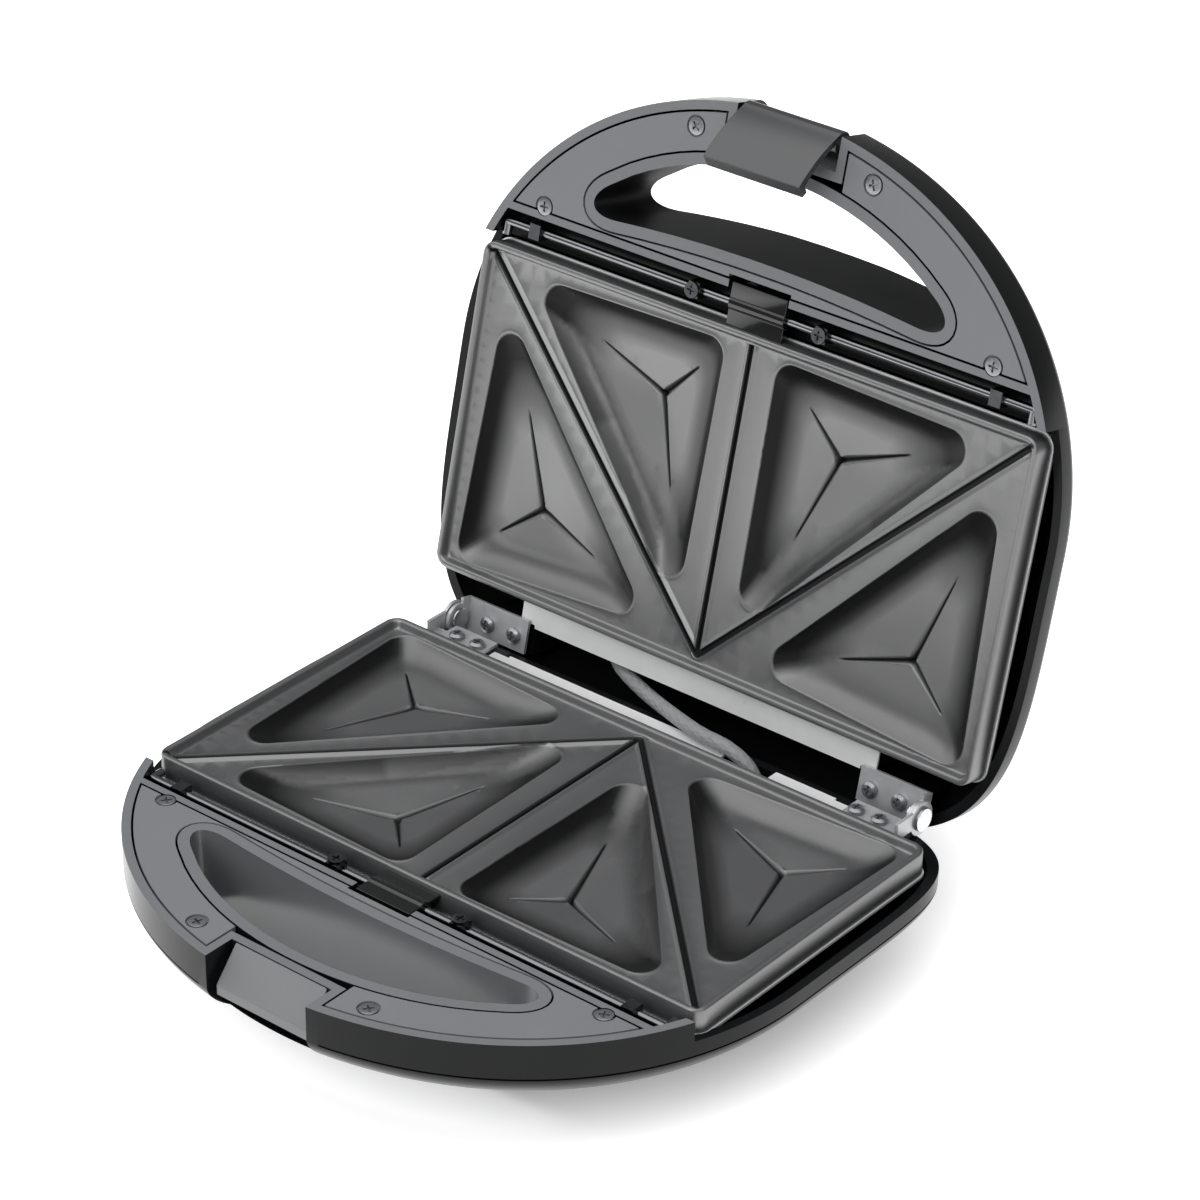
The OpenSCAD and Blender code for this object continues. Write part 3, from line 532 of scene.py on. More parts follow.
def surface(name, dark, light, rough, metal=0.0, patch=60.0, grain=900.0, bump=0.02,
            stretch=(1, 1, 1), patch_detail=3.0, **shine):
    """A finish whose tone drifts between two colours and whose roughness and grain vary."""
    made = bpy.data.materials.new(name)
    made.use_nodes = True
    tree = made.node_tree
    where = node(tree, "ShaderNodeTexCoord").outputs["Object"]
    if stretch != (1, 1, 1):
        where = node(tree, "ShaderNodeMapping", Vector=where, Scale=stretch)
    broad = node(tree, "ShaderNodeTexNoise", Vector=where, Scale=patch, Detail=patch_detail,
                 Roughness=0.55)
    grains = node(tree, "ShaderNodeTexNoise", Vector=where, Scale=grain, Detail=2.0, Roughness=0.6)
    shine.update(
        Metallic=metal, Base_Color=mixed(tree, broad, colour(dark), colour(light)),
        Roughness=carried_over(tree, broad, (0.0, 1.0), rough),
        Normal=node(tree, "ShaderNodeBump", Strength=bump, Distance=0.0004, Height=grains))
    for label, value in shine.items():
        fill(tree, tree.nodes["Principled BSDF"].inputs[label.replace("_", " ")], value)
    return made


phenolic = surface("black_phenolic", "0f1011", "161719", (0.18, 0.30), patch=35.0, bump=0.04, IOR=1.25)
# Grey that paints the reflection on the black rim tops.
lapped_grey = surface("lapped_grey", "707275", "797b7e", (0.28, 0.40), patch=24.0, grain=2600.0,
                      bump=0.05)
# Lighter grey on the black moulding in the base's finger opening: painted reflection on its wall.
opening_grey = surface("opening_grey", "66686a", "6b6d6f", (0.16, 0.20), patch=24.0, grain=2600.0,
                       bump=0.05, IOR=1.7)
opening_black = surface("opening_black", "0f1011", "161718", (0.50, 0.60), patch=35.0, bump=0.04,
                        IOR=1.2)


def within(x, y, shape):
    """Whether a spot lies inside a closed outline."""
    inside = False
    for (x0, y0), (x1, y1) in zip(shape, shape[1:] + shape[:1]):
        if (y0 > y) != (y1 > y) and x < x0 + (y - y0) * (x1 - x0) / (y1 - y0):
            inside = not inside
    return inside


def with_painted_reflections(mesh, opening_finish_or_reflection):
    """Black moulding, with a grey on the tops of its rims that is painted reflection, and a material of
    its own in the opening.
    """
    mesh.materials.clear()
    for material in (phenolic, lapped_grey, opening_finish_or_reflection):
        mesh.materials.append(material)
    opening = offset(finger_opening(), 0.8)
    for face in mesh.polygons:
        x, y, z = face.center
        # The rim tops take the painted reflection.
        if face.normal.z > 0.35 and z > -1.8:
            face.material_index = 1
        elif y < -60 and within(x, y, opening):
            face.material_index = 2
    return mesh


bush_x, bush_z, post_r = -31, -32, 4.2
pan_posts = both_sides([(62, 42), (62, -42)])
foot_spots = both_sides([(50, 55), (58, -56)])
cover_screws = both_sides([(43, 29), (43, -43)])


def turned_peg(middle, radius, y0, y1):
    """A round peg along the y axis."""
    mesh = pegs([(0, 0)], radius, 0, y1 - y0, sides=48)
    mesh.transform(Matrix.Translation((middle[0], y0, middle[1])) @ Matrix.Rotation(-math.pi / 2, 4, "X"))
    return mesh


def cover_plan(margin, radius):
    """Outline of the bottom cover, widened by a margin."""
    return rounded_box_plan(100 + 2 * margin, 86 + 2 * margin, radius, (0, -7))


def hinge_pillars(rear, *corners):
    """Two posts for the hinge brackets, kept within the skin."""
    return carved(domed(rear, plain_grid, 1.0, skin_depth, extra=0.5),
                  [("INTERSECT", twin_boxes(*corners))])


bush_wall = base_rear[0] + plan_y - rear_slope * dome_inset(-bush_z - band_depth)
parting_groove = carved(box(-200, 200, -200, 200, -band_depth - 0.7, -band_depth), [
    ("DIFFERENCE", slab([plan(0.8, *base_rear)], -16, -10)),
    ("DIFFERENCE", box(-notch_w / 2 - 4, notch_w / 2 + 4, front_end, -90, -20, 0))])
cover_rim = carved(slab([cover_plan(3, 9)], -39.7, -37.2),
                   [("DIFFERENCE", slab([cover_plan(-5, 5)], -41, -36))])
base_mesh = half_housing(base_rear, [
    ("UNION", cover_rim),
    ("UNION", hinge_pillars(base_rear, 75, 92, 59, 79, -22, -4.3)),
    ("UNION", turned_peg((bush_x, bush_z), 7.6, bush_wall - 6.4, bush_wall + 2.2)),
    ("UNION", pegs(pan_posts, post_r, -41, -25.8)),
    ("UNION", pegs(cover_screws, 3.6, -39.6, -31.6))], [
        ("DIFFERENCE", slab([cover_plan(0.3, 6)], -43, -39.6)),
        ("DIFFERENCE", pegs(cover_screws, pilot_r, -42, -33)),
        ("DIFFERENCE", pegs(pan_posts, pilot_r, -37, -20)),
        ("DIFFERENCE", pegs(foot_spots, 2.6, -43, -37)),
        ("DIFFERENCE", turned_peg((bush_x, bush_z), 5.1, 55, 85)),
        ("DIFFERENCE", twin_boxes(113, 133, -6, 4, -23, -19.6)),
        ("DIFFERENCE", parting_groove)])
# In the base the opening's material is the grey that paints the reflection on its wall.
set_down("base_housing", with_painted_reflections(finished(base_mesh, 0.35), opening_grey), in_base, "base", None,
         "base_shell")

pin_hole = pegs([(0, 0)], 1.56, -24, 24)
pin_hole.transform(Matrix.Translation((0, -125, -4.5)) @ Matrix.Rotation(math.pi / 2, 4, "Y"))
lid_mesh = half_housing(lid_rear, [
    ("UNION", hinge_pillars(lid_rear, 69.5, 91.5, 67.8, 78, -42, -4.2)),
    ("UNION", pegs(pan_posts, post_r, -41, -25.8))], [
        ("DIFFERENCE", pegs(pan_posts, pilot_r, -37, -20)),
        ("DIFFERENCE", pegs([(-9, 8), (9, 8)], 4.1, -43, -35)),
        ("DIFFERENCE", pin_hole)])
set_down("lid_housing", with_painted_reflections(finished(lid_mesh, 0.35), opening_black), in_lid, "lid", None,
         "lid_shell")

# ---------- handle faces ----------
# A flat grey pad glued and screwed over each hollow handle, two millimetres thick, with a
# narrow dark joint between its softened edge and the housing's rim.
pad_t, joint = 2, 0.75


def handle_pad(rear):
    """The pad of one half, with its recessed screw holes."""
    spots = both_sides(handle_screws)
    notch_side = notch_w / 2 + wall + joint
    return carved(slab([plan(wall + joint, *rear)], face_z - pad_t, face_z), [
        ("DIFFERENCE", box(-beyond, beyond, channel_y - web - joint, beyond, -20, 20)),
        ("DIFFERENCE", slab([offset(finger_opening(), 4.5)], -20, 20)),
        ("DIFFERENCE", box(-notch_side, notch_side, front_end, -90, -20, 20)),
        ("DIFFERENCE", box(-lock_w / 2 - 1.4, lock_w / 2 + 1.4, channel_y - 4.3, -54, -20, 20)),
        ("DIFFERENCE", pegs(spots, head_r + joint, face_z - 0.9, 2)),
        ("DIFFERENCE", pegs(spots, clear_r, -8, 0)),
        ("DIFFERENCE", pegs(spots, clear_r, face_z - 1.9, face_z - 0.85, head_r + 0.35))])


grey_pad = surface("handle_grey", "76787b", "7e8083", (0.30, 0.42), patch=24.0, grain=2600.0,
                   bump=0.05)
for body, rear, where in (("base", base_rear, in_base), ("lid", lid_rear, in_lid)):
    set_down(body + "_handle_pad", finished(handle_pad(rear), 0.45, segments=3), where, body, grey_pad,
             body + "_handle_cover")

# ---------- screws ----------
# Zinc-plated steel screws with countersunk heads and cross slots. Four hold each handle face,
# and each is turned at random in its hole.
def screw_mesh(length, head):
    """A countersunk screw whose head's rim is at height 0."""
    profile = [(0, -0.05), (0.8 * head, -0.08), (head, -0.2), (head, -0.5), (screw_r, -1.7),
               (screw_r, -length), (0, -length)]
    high, sides = profile[0][1], 28
    turns = [2 * math.pi * k / sides for k in range(sides)]
    work = bmesh.new()
    rings = [[work.verts.new((r * math.cos(turn), r * math.sin(turn), z)) for turn in turns]
             for r, z in profile[1:-1]]
    top, end = work.verts.new((0, 0, high)), work.verts.new((0, 0, -length))
    for upper, lower in zip(rings, rings[1:]):
        for k in range(sides):
            work.faces.new((upper[k - 1], lower[k - 1], lower[k], upper[k]))
    for k in range(sides):
        work.faces.new((top, rings[0][k - 1], rings[0][k]))
        work.faces.new((end, rings[-1][k], rings[-1][k - 1]))
    arm, slot_w, low = 0.6 * head, 0.36, high - 1.0
    cross = carved(box(-arm, arm, -slot_w, slot_w, low, high + 2),
                   [("UNION", box(-slot_w, slot_w, -arm, arm, low, high + 2))])
    return finished(carved(turned_out(as_mesh(work, "screw")), [("DIFFERENCE", cross)]), 0)


def set_in_holes_tree():
    """Sets a part on every point and turns it about its own axis at random."""
    tree, given = geometry_tree(
        "set_in_holes", Part="Object", Most_Turn="Float", Seed="Int", Material="Material")
    part = node(tree, "GeometryNodeObjectInfo", given["Part"])
    spin = node(tree, "FunctionNodeRandomValue", data_type="FLOAT", Seed=given["Seed"])
    fill(tree, spin.inputs[3], given["Most Turn"])
    turn = node(tree, "ShaderNodeCombineXYZ", Z=spin.outputs[1])
    placed = node(tree, "GeometryNodeInstanceOnPoints", Points=given["Geometry"],
                  Instance=part.outputs["Geometry"], Rotation=turn)
    return ended(tree, placed, given["Material"])


zinc = surface("zinc_plate", "808285", "a0a2a5", (0.22, 0.38), metal=0.8, patch=400.0, grain=3000.0,
               bump=0.08)
set_in_holes = set_in_holes_tree()
flush_screw = put("flush_screw", screw_mesh(9, head_r))
for body, where, seed in (("base", in_base, 3), ("lid", in_lid, 8)):
    holes = bpy.data.meshes.new("holes")
    holes.from_pydata([(x, y, face_z) for x, y in both_sides(handle_screws)], [], [])
    screws = grown(set_in_holes, {"Part": flush_screw, "Most Turn": 6.28, "Seed": seed,
                                  "Material": zinc}, holes)
    set_down(body + "_handle_fasteners", screws, where, body, zinc,
             body + "_handle_screws")
bpy.data.objects.remove(flush_screw)

# ---------- cooking plates ----------
# Two alike die-cast aluminium plates with a dark non-stick coat, a raised rim, three grooved
# sealing ridges and four triangular pockets. A pocket's floor is three facets that fall to one
# low point, with a tapered crease where two facets meet.
land, plate_t, rim_w, rim_foot, plate_corner = -3.15, 2.2, 2.4, 3.6, 5
floor_edge, floor_low, foot_share = -8.04, -10.0, 0.74
lip_growth, lip_radius, foot_radius = 2.3, 6.5, 12
bead_h, bead_w, crease_wide, crease_taper, crease_deep = 0.22, 1.4, 1.25, 0.85, 1.2
pocket_shapes = [(((98.7, -33.1), (102.5, 52.1), (26, 47)), (76.2, 28.4)),
                 (((87.6, -48.2), (12.5, -50), (13.5, 35.3)), (35.6, -25.5))]
pocket_shapes += [(tuple((-x, y) for x, y in corners), (-low[0], low[1]))
                  for corners, low in pocket_shapes]
ridges = [((0, -54), (0, 52.6)), ((0, 52.6), (108.5, -55.2)), ((0, 52.6), (-108.5, -55.2))]


def rounded_triangle(corners, radius, straight=28, bend=9):
    """A triangle with rounded corners; its points match those of any other radius."""
    arcs = []
    for k in range(3):
        corner = np.array(corners[k], float)
        before = np.array(corners[k - 1], float) - corner
        after = np.array(corners[(k + 1) % 3], float) - corner
        before, after = before / np.linalg.norm(before), after / np.linalg.norm(after)
        half = math.acos(float(before @ after)) / 2
        middle = corner + (before + after) / np.linalg.norm(before + after) * radius / math.sin(half)
        start = corner + before * radius / math.tan(half)
        end = corner + after * radius / math.tan(half)
        first = math.atan2(*(start - middle)[::-1])
        sweep = (math.atan2(*(end - middle)[::-1]) - first + math.pi) % (2 * math.pi) - math.pi
        arcs.append([middle + radius * np.array([math.cos(first + sweep * j / bend),
                                                 math.sin(first + sweep * j / bend)])
                     for j in range(bend + 1)])
    points = []
    for k in range(3):
        points += arcs[k]
        end, start = arcs[k][-1], arcs[(k + 1) % 3][0]
        points += [end + (start - end) * j / straight for j in range(1, straight)]
    return np.array(points)


def distance_to_line(points, start, end):
    """Distance to a line piece, and how far along it the nearest place is."""
    start, end = np.array(start, float), np.array(end, float)
    along = np.clip(((points - start) @ (end - start)) / ((end - start) @ (end - start)), 0, 1)
    return np.linalg.norm(points - start - along[:, None] * (end - start), axis=1), along


def distance_to_loop(points, loop):
    return np.min([distance_to_line(points, loop[k - 1], loop[k])[0] for k in range(len(loop))],
                  axis=0)


def reach_at(loop, middle, points):
    """How far out each point lies from the middle, and the loop's reach that way."""
    ring, away = loop - middle, points - middle
    turn = np.arctan2(ring[:, 1], ring[:, 0])
    order = np.argsort(turn)
    reach = np.interp(np.arctan2(away[:, 1], away[:, 0]), turn[order],
                      np.linalg.norm(ring, axis=1)[order], period=2 * math.pi)
    return np.linalg.norm(away, axis=1), reach


def direction(start, end):
    """The way from one spot to another, one unit long."""
    return (end - start) / np.linalg.norm(end - start)


def smooth_step(t):
    """0 up to 0 and 1 from 1 on, with a soft passage between them."""
    t = np.clip(t, 0, 1)
    return t * t * (3 - 2 * t)


def corner_tip(loop, low, corner):
    """Where a crease ends, just short of the loop on the way from the low point to a corner."""
    toward = direction(low, corner)
    far = max(float((p - low) @ toward) for p in loop if abs(np.cross(toward, p - low)) < 2.5)
    return low + toward * far * 0.98


def widened(corners, distance):
    """The corners of a triangle whose three edges lie further out."""
    a, b, c = (np.array(corner, float) for corner in corners)
    sides = np.linalg.norm(c - b), np.linalg.norm(a - c), np.linalg.norm(b - a)
    centre = (sides[0] * a + sides[1] * b + sides[2] * c) / sum(sides)
    reach = abs((b - a)[0] * (c - a)[1] - (b - a)[1] * (c - a)[0]) / sum(sides)
    return [centre + (corner - centre) * (1 + distance / reach) for corner in (a, b, c)]


class Pocket:
    """The outlines, creases and depth of one triangular pocket."""

    def __init__(self, corners, low):
        self.middle = np.mean(np.array(corners, float), axis=0)
        self.low = np.array(low, float)
        self.lip = rounded_triangle(widened(corners, lip_growth), lip_radius)
        self.foot = self.shrunk(rounded_triangle(corners, foot_radius))
        self.tips = [corner_tip(self.foot, self.low, self.shrunk(np.array(c))) for c in corners]

    def shrunk(self, points):
        return self.middle + (points - self.middle) * foot_share

    def rings(self):
        """Lines round the wall and the edge of the floor."""
        return [self.lip + (self.foot - self.lip) * u
                for u in (0, 0.04, 0.1, 0.18, 0.27, 0.37, 0.48, 0.6, 0.73, 0.86, 1, 1.13, 1.26, 1.4)]

    def beads(self):
        """Lines round the bead outside the lip."""
        away = self.lip - self.middle
        return [self.lip + away / np.linalg.norm(away, axis=1)[:, None] * d for d in (0.35, 0.8, 1.3)]

    @staticmethod
    def crease_width(along):
        return crease_wide - crease_taper * along

    def wall_share(self, points):
        """How far out each point lies, the lip's reach that way, and 0 at the lip to 1 at the foot
        of the wall, and more on the floor."""
        out, lip_reach = reach_at(self.lip, self.middle, points)
        foot_reach = reach_at(self.foot, self.middle, points)[1]
        return out, lip_reach, (lip_reach - out) / np.maximum(lip_reach - foot_reach, 0.01)

    def crease_lines(self):
        """Lines along and beside each crease."""
        lines = []
        for tip in self.tips:
            toward = direction(self.low, tip)
            aside = np.array([-toward[1], toward[0]])
            for share in (-1.5, -1, -0.5, 0, 0.5, 1, 1.5):
                lines.append([self.low + (tip - self.low) * t + aside * share * self.crease_width(t)
                              for t in np.linspace(0.03 if share else 0, 1, 14)])
        return lines

    def height(self, points, z):
        """The given heights, with the pocket and the bead round it put in."""
        out, lip_reach, u = self.wall_share(points)
        inside = out < lip_reach + 0.001
        near = out < lip_reach + 4
        bead = np.zeros(len(points))
        bead[near] = distance_to_loop(points[near], self.lip)
        z = np.where(~inside & near, z + bead_h * (1 - smooth_step(bead / bead_w)), z)
        u = np.clip(u, 0, 1)
        wall_z = land + bead_h + (floor_edge - land - bead_h) * (1 - (1 - u) ** 2.3)
        far, edge = reach_at(self.foot, self.low, points)
        floor_z = floor_low + (floor_edge - floor_low) * np.minimum(far / edge, 1)
        for tip in self.tips:
            aside, along = distance_to_line(points, self.low, tip)
            aside, on_crease = aside / self.crease_width(along), along < 0.999
            depth = crease_deep * (1 - 0.5 * along) * on_crease
            floor_z = floor_z - depth * np.clip(1 - aside, 0, 1)
            floor_z = floor_z + 0.10 * np.clip(1 - np.abs(aside - 1.25) / 0.25, 0, 1) * on_crease
        return np.where(inside, np.where(u < 1, wall_z, floor_z), z)

    def residue(self, points):
        """How much painted shade darkens each place, from 0 to 1: most under the lip and in the creases,
        less down the wall, and less again on walls that face the hinge."""
        out, lip_reach, u = self.wall_share(points)
        dark = np.where(u > 0.02, np.clip(1.4 - u, 0, 1) ** 0.8, 0)
        slopes = []
        for step in ((0.05, 0), (0, 0.05)):
            moved, reach = reach_at(self.lip, self.middle, points + np.array(step))
            slopes.append(moved / reach - out / lip_reach)
        toward_hinge = slopes[1] / np.maximum(np.hypot(*slopes), 1e-9)
        # The painted shade is weaker on walls that face the hinge.
        dark = dark * (1 - 0.7 * smooth_step((toward_hinge - 0.4) / 0.6))
        for tip in self.tips:
            aside, along = distance_to_line(points, self.low, tip)
            in_crease = np.clip(1.25 - aside / self.crease_width(along), 0, 1) * (along < 0.999)
            dark = np.maximum(dark, in_crease)
        return dark


pockets = [Pocket(*shape) for shape in pocket_shapes]
rim_steps = (0.0, 0.25, 0.7, 1.2, 1.75, 2.15, rim_w, 2.75, 3.1, rim_foot)
rim_heights = (-0.75, -0.35, -0.18, -0.15, -0.22, -0.5, -1.0, -2.2, -2.95, land)
ridge_steps = (0, 0.6, 0.78, 0.95, 1.15, 1.5, 1.9, 2.3, 2.7)


def inside_rim(points):
    """Distance in from the plate's rounded outline."""
    half = np.array([plate_w / 2, plate_d / 2])
    corner = np.maximum(np.abs(points) - (half - plate_corner), 0)
    straight = (half - np.abs(points)).min(axis=1)
    return np.where((corner > 0).all(axis=1), plate_corner - np.linalg.norm(corner, axis=1), straight)


def plate_height(points):
    """Height of the plate's cooking face, with its rim, ridges and pockets."""
    z = np.full(len(points), land)
    band, groove = np.zeros(len(points)), np.zeros(len(points))
    for start, end in ridges:
        aside, _ = distance_to_line(points, start, end)
        band = np.maximum(band, 1 - smooth_step((aside - 1.2) / 1.5))
        groove = np.maximum(groove, 1 - smooth_step((aside - 0.6) / 0.5))
    z = z + 0.85 * band - (0.85 * band + 0.75) * groove
    for pocket in pockets:
        z = pocket.height(points, z)
    rim_in = inside_rim(points)
    rim = np.interp(rim_in, rim_steps, rim_heights)
    return np.where(rim_in < rim_foot, np.where(rim_in > rim_w, np.maximum(rim, z), rim), z)


def rim_loop(inset):
    """Closed line along the plate's edge, drawn in by inset, in steps of about 2.5 mm."""
    radius = max(plate_corner - inset, 0.6)
    loop = rounded_box_plan(plate_w - 2 * inset, plate_d - 2 * inset, radius, steps=10)
    whole = []
    for k, (x, y) in enumerate(loop):
        x1, y1 = loop[(k + 1) % len(loop)]
        parts = max(1, round(math.dist((x, y), (x1, y1)) / 2.5))
        whole += [(x + (x1 - x) * j / parts, y + (y1 - y) * j / parts) for j in range(parts)]
    return whole


def plate_mesh():
    """A plate as one closed skin: a net of points over its plan, raised to its two faces."""
    points, edges = [], []

    def draw(line, closed):
        first = len(points)
        points.extend(Vector((float(p[0]), float(p[1]))) for p in line)
        edges.extend((first + k, first + k + 1) for k in range(len(line) - 1))
        if closed:
            edges.append((len(points) - 1, first))

    for inset in rim_steps:
        draw(rim_loop(inset), True)
    for pocket in pockets:
        for ring in pocket.rings() + pocket.beads():
            draw(ring, True)
        for line in pocket.crease_lines():
            draw(line, False)
    for start, end in ridges:
        start, end = np.array(start, float), np.array(end, float)
        toward = direction(start, end)
        aside = np.array([-toward[1], toward[0]])
        for step in ridge_steps:
            for side in ((-1, 1) if step else (1,)):
                line = [start + (end - start) * t + aside * side * step for t in np.linspace(0, 1, 50)]
                draw([p for p in line if inside_rim(np.array([p]))[0] > rim_w + 0.05], False)
    grid = [(x, y) for x in np.arange(-107, 108, 5.35) for y in np.arange(-53, 54, 5.3)]
    points.extend(Vector((float(x), float(y))) for x, y in grid)
    flat, _, faces, *_ = delaunay_2d_cdt(points, edges, [], 0, 0.02)
    flat = np.array([(p.x, p.y) for p in flat])
    top = plate_height(flat)
    under = np.where(inside_rim(flat) < rim_w + 0.02, -plate_h, np.minimum(top, land) - plate_t)
    count = len(flat)
    verts = [(x, y, z) for heights in (top, under) for (x, y), z in zip(flat, heights)]
    sides = {}
    for face in faces:
        for k, a in enumerate(face):
            b = face[(k + 1) % len(face)]
            if not sides.pop((b, a), False):
                sides[(a, b)] = True
    solid = [tuple(f) for f in faces] + [tuple(count + i for i in f[::-1]) for f in faces]
    solid += [(b, a, count + a, count + b) for a, b in sides]
    mesh = bpy.data.meshes.new("plate")
    mesh.from_pydata(verts, [], solid)
    mesh = turned_out(mesh)
    mesh.shade_smooth()
    mesh.set_sharp_from_angle(angle=math.radians(58))
    # Painted shade on the pocket walls, in the creases and in the ridges' grooves, kept as a point
    # attribute.
    dark = np.max([pocket.residue(flat) for pocket in pockets], axis=0)
    for start, end in ridges:
        aside, _ = distance_to_line(flat, start, end)
        dark = np.maximum(dark, 1 - smooth_step((aside - 0.6) / 0.6))
    painted_shade_level = mesh.attributes.new("residue", "FLOAT", "POINT")
    painted_shade_level.data.foreach_set("value", np.concatenate([dark, dark]).astype(np.float32))
    return mesh


non_stick = surface("non_stick_coat", "363739", "3b3c3e", (0.34, 0.46), patch=26.0, grain=1500.0,
                    bump=0.08, IOR=1.9)
tree = non_stick.node_tree
shader = tree.nodes["Principled BSDF"]
# The painted shade darkens the coat's colour and weakens its reflection.
painted_shade_level = Number(tree, node(tree, "ShaderNodeAttribute", attribute_name="residue").outputs["Fac"]) * 0.92
unshaded_colour = shader.inputs["Base Color"].links[0].from_socket
fill(tree, shader.inputs["Specular IOR Level"], 1.0 - painted_shade_level)
fill(tree, shader.inputs["Base Color"], mixed(tree, painted_shade_level, unshaded_colour, colour("4a4a4a"), "MULTIPLY"))
for half, where, body in (("lower", in_base, "base"), ("upper", in_lid, "lid")):
    set_down(half + "_cooking_plate", plate_mesh(), where, body, non_stick,
             half + "_plate")

# ---------- latch ----------
# A glossy black clip that hangs on a steel pin in the lid's notch, with a coil spring round the
# pin, and a sloped grey catch moulded into the base's notch for its hook.
def softened(stands_for, rounding, name, body, material, segments=2):
    """A part's own shape with the soft edges that a mould or a press leaves on it."""
    mesh = nodes[stands_for].data.copy()
    mesh.transform(nodes[stands_for].matrix_world)
    mesh.transform(Matrix.Scale(1000, 4))
    mesh = finished(mesh, rounding, 30, segments, merge=0.003)
    set_down(name, mesh, to_metres, body, material, stands_for)


def dressed(material, *names):
    """Gives parts that keep their own mesh their finish."""
    for name in names:
        mesh = nodes[name].data
        mesh.materials.clear()
        mesh.materials.append(material)


clip_black = surface("clip_black", "333436", "3b3c3e", (0.16, 0.26), patch=40.0, grain=1800.0,
                     bump=0.02, IOR=1.7)
catch_grey = surface("catch_grey", "77797b", "7f8183", (0.34, 0.44), patch=30.0, grain=2400.0,
                     bump=0.05)
spring_steel = surface("spring_steel", "6e7072", "8d8f91", (0.25, 0.35), metal=1.0, patch=300.0)
softened("latch_clip", 1.2, "hook_clip", "latch_clip", clip_black, segments=3)
softened("latch_catch", 0.5, "catch_ramp", "base", catch_grey, segments=3)
dressed(zinc, "latch_pin")
dressed(spring_steel, "latch_spring")

# ---------- plate locks ----------
# Black rocking locks on bright steel rods, which lie in the channel behind each handle and are
# held by pressed clips with cross-head screws.
gloss_black = surface("gloss_black", "0c0d0e", "131415", (0.06, 0.14), patch=50.0, grain=1800.0,
                      bump=0.02, Coat_Weight=0.3)
bright_rod = surface("bright_rod", "6c6e71", "8e9092", (0.10, 0.22), metal=1.0, patch=250.0, grain=2500.0,
                     bump=0.04, stretch=(0.08, 1, 1))
clip_steel = surface("clip_steel", "44464a", "606265", (0.25, 0.40), metal=1.0, patch=500.0)
for half, body in (("lower", "base"), ("upper", "lid")):
    lock = half + "_lock"
    softened(lock, 0.35, half + "_rocking_lock", lock, gloss_black, segments=3)
    softened(half + "_rod_clips", 0.2, half + "_pressed_clips", body, clip_steel)
    dressed(bright_rod, half + "_rod")

# ---------- pans and elements ----------
# An aluminised steel pan under each plate holds the sheathed element on ceramic-lined supports,
# and its stepped ledge closes the gap towards the hinge.
aluminised = surface("aluminised_steel", "ecedee", "f8f8f8", (0.24, 0.36), metal=0.35, patch=110.0,
                     grain=1400.0, bump=0.05, patch_detail=2.0)
sheath = surface("element_sheath", "5b5650", "8a8276", (0.38, 0.55), metal=0.9, patch=90.0, grain=2200.0,
                 bump=0.15)
support_steel = surface("support_steel", "8e9092", "b5b7b9", (0.30, 0.45), metal=1.0, patch=300.0)
for half, body in (("lower", "base"), ("upper", "lid")):
    softened(half + "_pan", 0.18, half + "_steel_pan", body, aluminised)
    dressed(sheath, half + "_element")
    dressed(support_steel, half + "_element_supports")
    dressed(zinc, half + "_pan_screws")

# ---------- hinge ----------
# Pressed brackets of galvanised steel, screwed to two posts of each half and joined at each side
# by ears on a steel rivet with a broad bright head.
galvanised = surface("galvanised_steel", "b4b6b8", "cfd1d3", (0.28, 0.42), metal=0.55, patch=210.0,
                     grain=900.0, bump=0.10, patch_detail=1.0)
rivet_steel = surface("rivet_steel", "b4b6b8", "d9dadb", (0.14, 0.26), metal=1.0, patch=500.0)
for body in ("base", "lid"):
    for side in ("left", "right"):
        softened(f"{body}_bracket_{side}", 0.25, f"{body}_hinge_plate_{side}", body, galvanised)
    dressed(zinc, f"{body}_bracket_screws")
for side in ("left", "right"):
    softened(f"hinge_rivet_{side}", 0.3, f"ear_rivet_{side}", "base", rivet_steel,
             segments=3)

# ---------- underside ----------
# A vented black plastic cover screwed under the base, four rubber feet pressed into its holes,
# and the rubber bush of the cord in the rear wall.
cover_black = surface("cover_black", "131415", "1c1d1f", (0.35, 0.5), grain=1200.0, bump=0.2)
rubber = surface("foot_rubber", "161617", "212123", (0.55, 0.75), patch=120.0, grain=1500.0, bump=0.3)
softened("base_cover", 0.3, "vented_cover", "base", cover_black)
softened("rubber_feet", 0.5, "soft_feet", "base", rubber)
softened("cord_bush", 0.4, "ribbed_bush", "base", rubber)
dressed(zinc, "base_cover_screws")

# ---------- electrical parts ----------
# A ceramic terminal block, a disc thermostat and a brass-capped fuse sit in the base, and a
# neon lamp stands behind each coloured lens of the lid.
ceramic = surface("glazed_ceramic", "cfcabc", "e2ded2", (0.25, 0.45), patch=150.0, bump=0.12)
brass = surface("drawn_brass", "b08d45", "cfae66", (0.20, 0.34), metal=1.0, patch=300.0)
wire_coat = surface("wire_coat", "6e3024", "8a4030", (0.35, 0.5), patch=200.0)
dressed(ceramic, "terminal_block", "lamp_holder", "thermostat")
dressed(brass, "earth_tag", "thermal_fuse")
dressed(wire_coat, "inlet_wires")
lamp_glass = surface("lamp_glass", "e8e4dc", "f4f1ea", (0.02, 0.06), patch=90.0,
                     Transmission_Weight=0.85)
for use, tint, dark, light in (("power", "red", "a8150f", "c4251b"),
                               ("ready", "green", "1c7a35", "2f9e4c")):
    lens = surface(tint + "_lens", dark, light, (0.05, 0.12), patch=90.0, Transmission_Weight=0.35)
    softened(use + "_lens", 0.3, use + "_light", "lid", lens, segments=3)
dressed(lamp_glass, "neon_lamps")

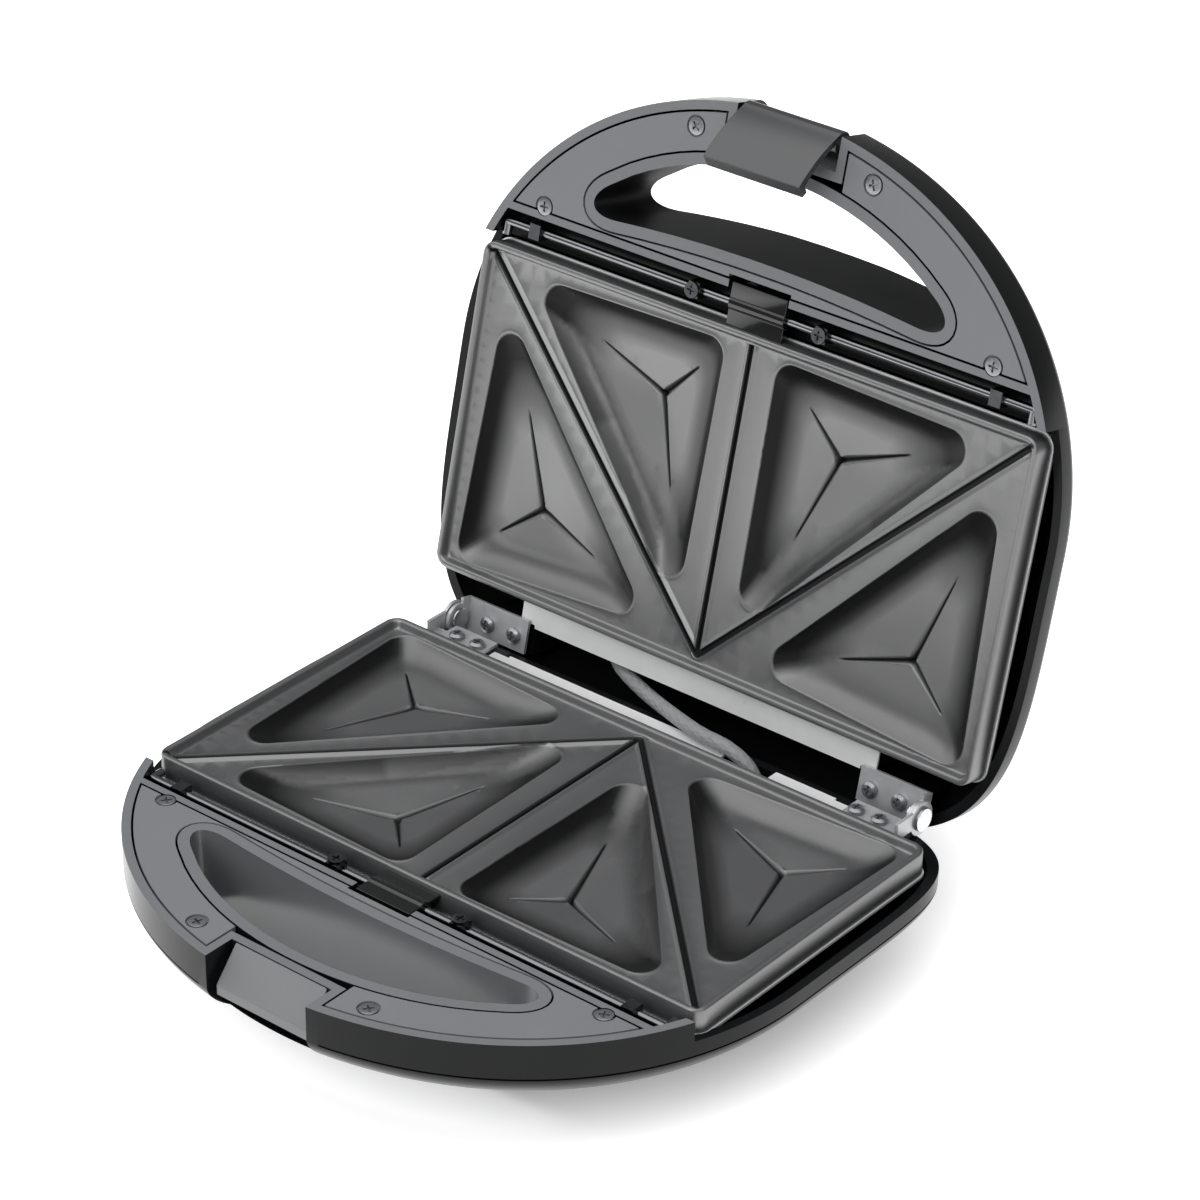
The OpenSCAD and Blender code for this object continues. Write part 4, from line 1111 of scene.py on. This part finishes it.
# ---------- wire sleeve ----------
# A woven glass-fibre sleeve carries the lid's wires across the hinge. In the toaster it is held in the
# base and in the lid; here it is one fixed tube along a bent path, attached to neither half.
route = [(-44, 92, 44), (-33.5, 84, 42.5), (-17, 77.5, 41.5), (1, 69.5, 44), (14, 66, 44.4),
         (25, 65.5, 44), (33, 65.5, 41), (37.5, 65, 36.5), (38, 64.5, 31)]


def sleeve_tree():
    """A tube along a line, with strands that wind both ways round it."""
    tree, given = geometry_tree(
        "woven_sleeve", Radius="Float", Strands="Float", Pitch="Float", Relief="Float",
        Rings="Int", Sides="Int", Material="Material")
    path = node(tree, "GeometryNodeMeshToCurve", given["Geometry"])
    even = node(tree, "GeometryNodeResampleCurve", Curve=path, Count=given["Rings"])
    circle = node(tree, "GeometryNodeCurvePrimitiveCircle", Resolution=given["Sides"],
                  Radius=given["Radius"])
    place = node(tree, "GeometryNodeSplineParameter").outputs
    tube = node(tree, "GeometryNodeCurveToMesh", Fill_Caps=True)
    turns = []
    for curve, measure, role in ((even, "Length", "Curve"), (circle, "Factor", "Profile Curve")):
        keep = node(tree, "GeometryNodeCaptureAttribute")
        keep.capture_items.new("FLOAT", "place")
        fill(tree, keep.inputs[0], curve)
        fill(tree, keep.inputs[1], place[measure])
        fill(tree, tube.inputs[role], keep)
        turns.append(Number(tree, keep.outputs[1]) * (2 * math.pi))
    along, around = turns[0] / given["Pitch"], turns[1] * given["Strands"]
    over = worked_out("MAXIMUM", worked_out("SINE", around + along), worked_out("SINE", around - along))
    lift = node(tree, "ShaderNodeVectorMath", node(tree, "GeometryNodeInputNormal"),
                operation="SCALE", Scale=over * given["Relief"])
    moved = node(tree, "GeometryNodeSetPosition", Geometry=tube, Offset=lift)
    return ended(tree, moved, given["Material"])


def through(points, steps):
    """A smooth line through the points."""
    ends = [2 * Vector(points[0]) - Vector(points[1])] + [Vector(p) for p in points]
    ends.append(2 * ends[-1] - ends[-2])
    line = []
    for a, b, c, d in zip(ends, ends[1:], ends[2:], ends[3:]):
        for k in range(steps):
            t = k / steps
            line.append(b + t * (c - a) / 2 + t * t * (2 * a - 5 * b + 4 * c - d) / 2
                        + t ** 3 * (3 * b - a - 3 * c + d) / 2)
    return line + [ends[-2]]


line = through(route, 6)
path_mesh = bpy.data.meshes.new("sleeve_path")
path_mesh.from_pydata(line, [(k, k + 1) for k in range(len(line) - 1)], [])
glass_fibre = surface("glass_fibre", "77797b", "959799", (0.45, 0.6), patch=700.0, grain=4000.0,
                      bump=0.25)
sleeve_mesh = turned_out(grown(sleeve_tree(), {
    "Radius": 2.3, "Strands": 9.0, "Pitch": 5.2, "Relief": 0.13, "Rings": 260, "Sides": 54,
    "Material": glass_fibre}, path_mesh))
sleeve_mesh.shade_smooth()
sleeve_mesh.transform(to_metres @ Matrix.Translation((0, -centre_y, 0)))
sleeve = put("woven_sleeve", sleeve_mesh)
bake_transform(sleeve)
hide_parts("wire_sleeve")
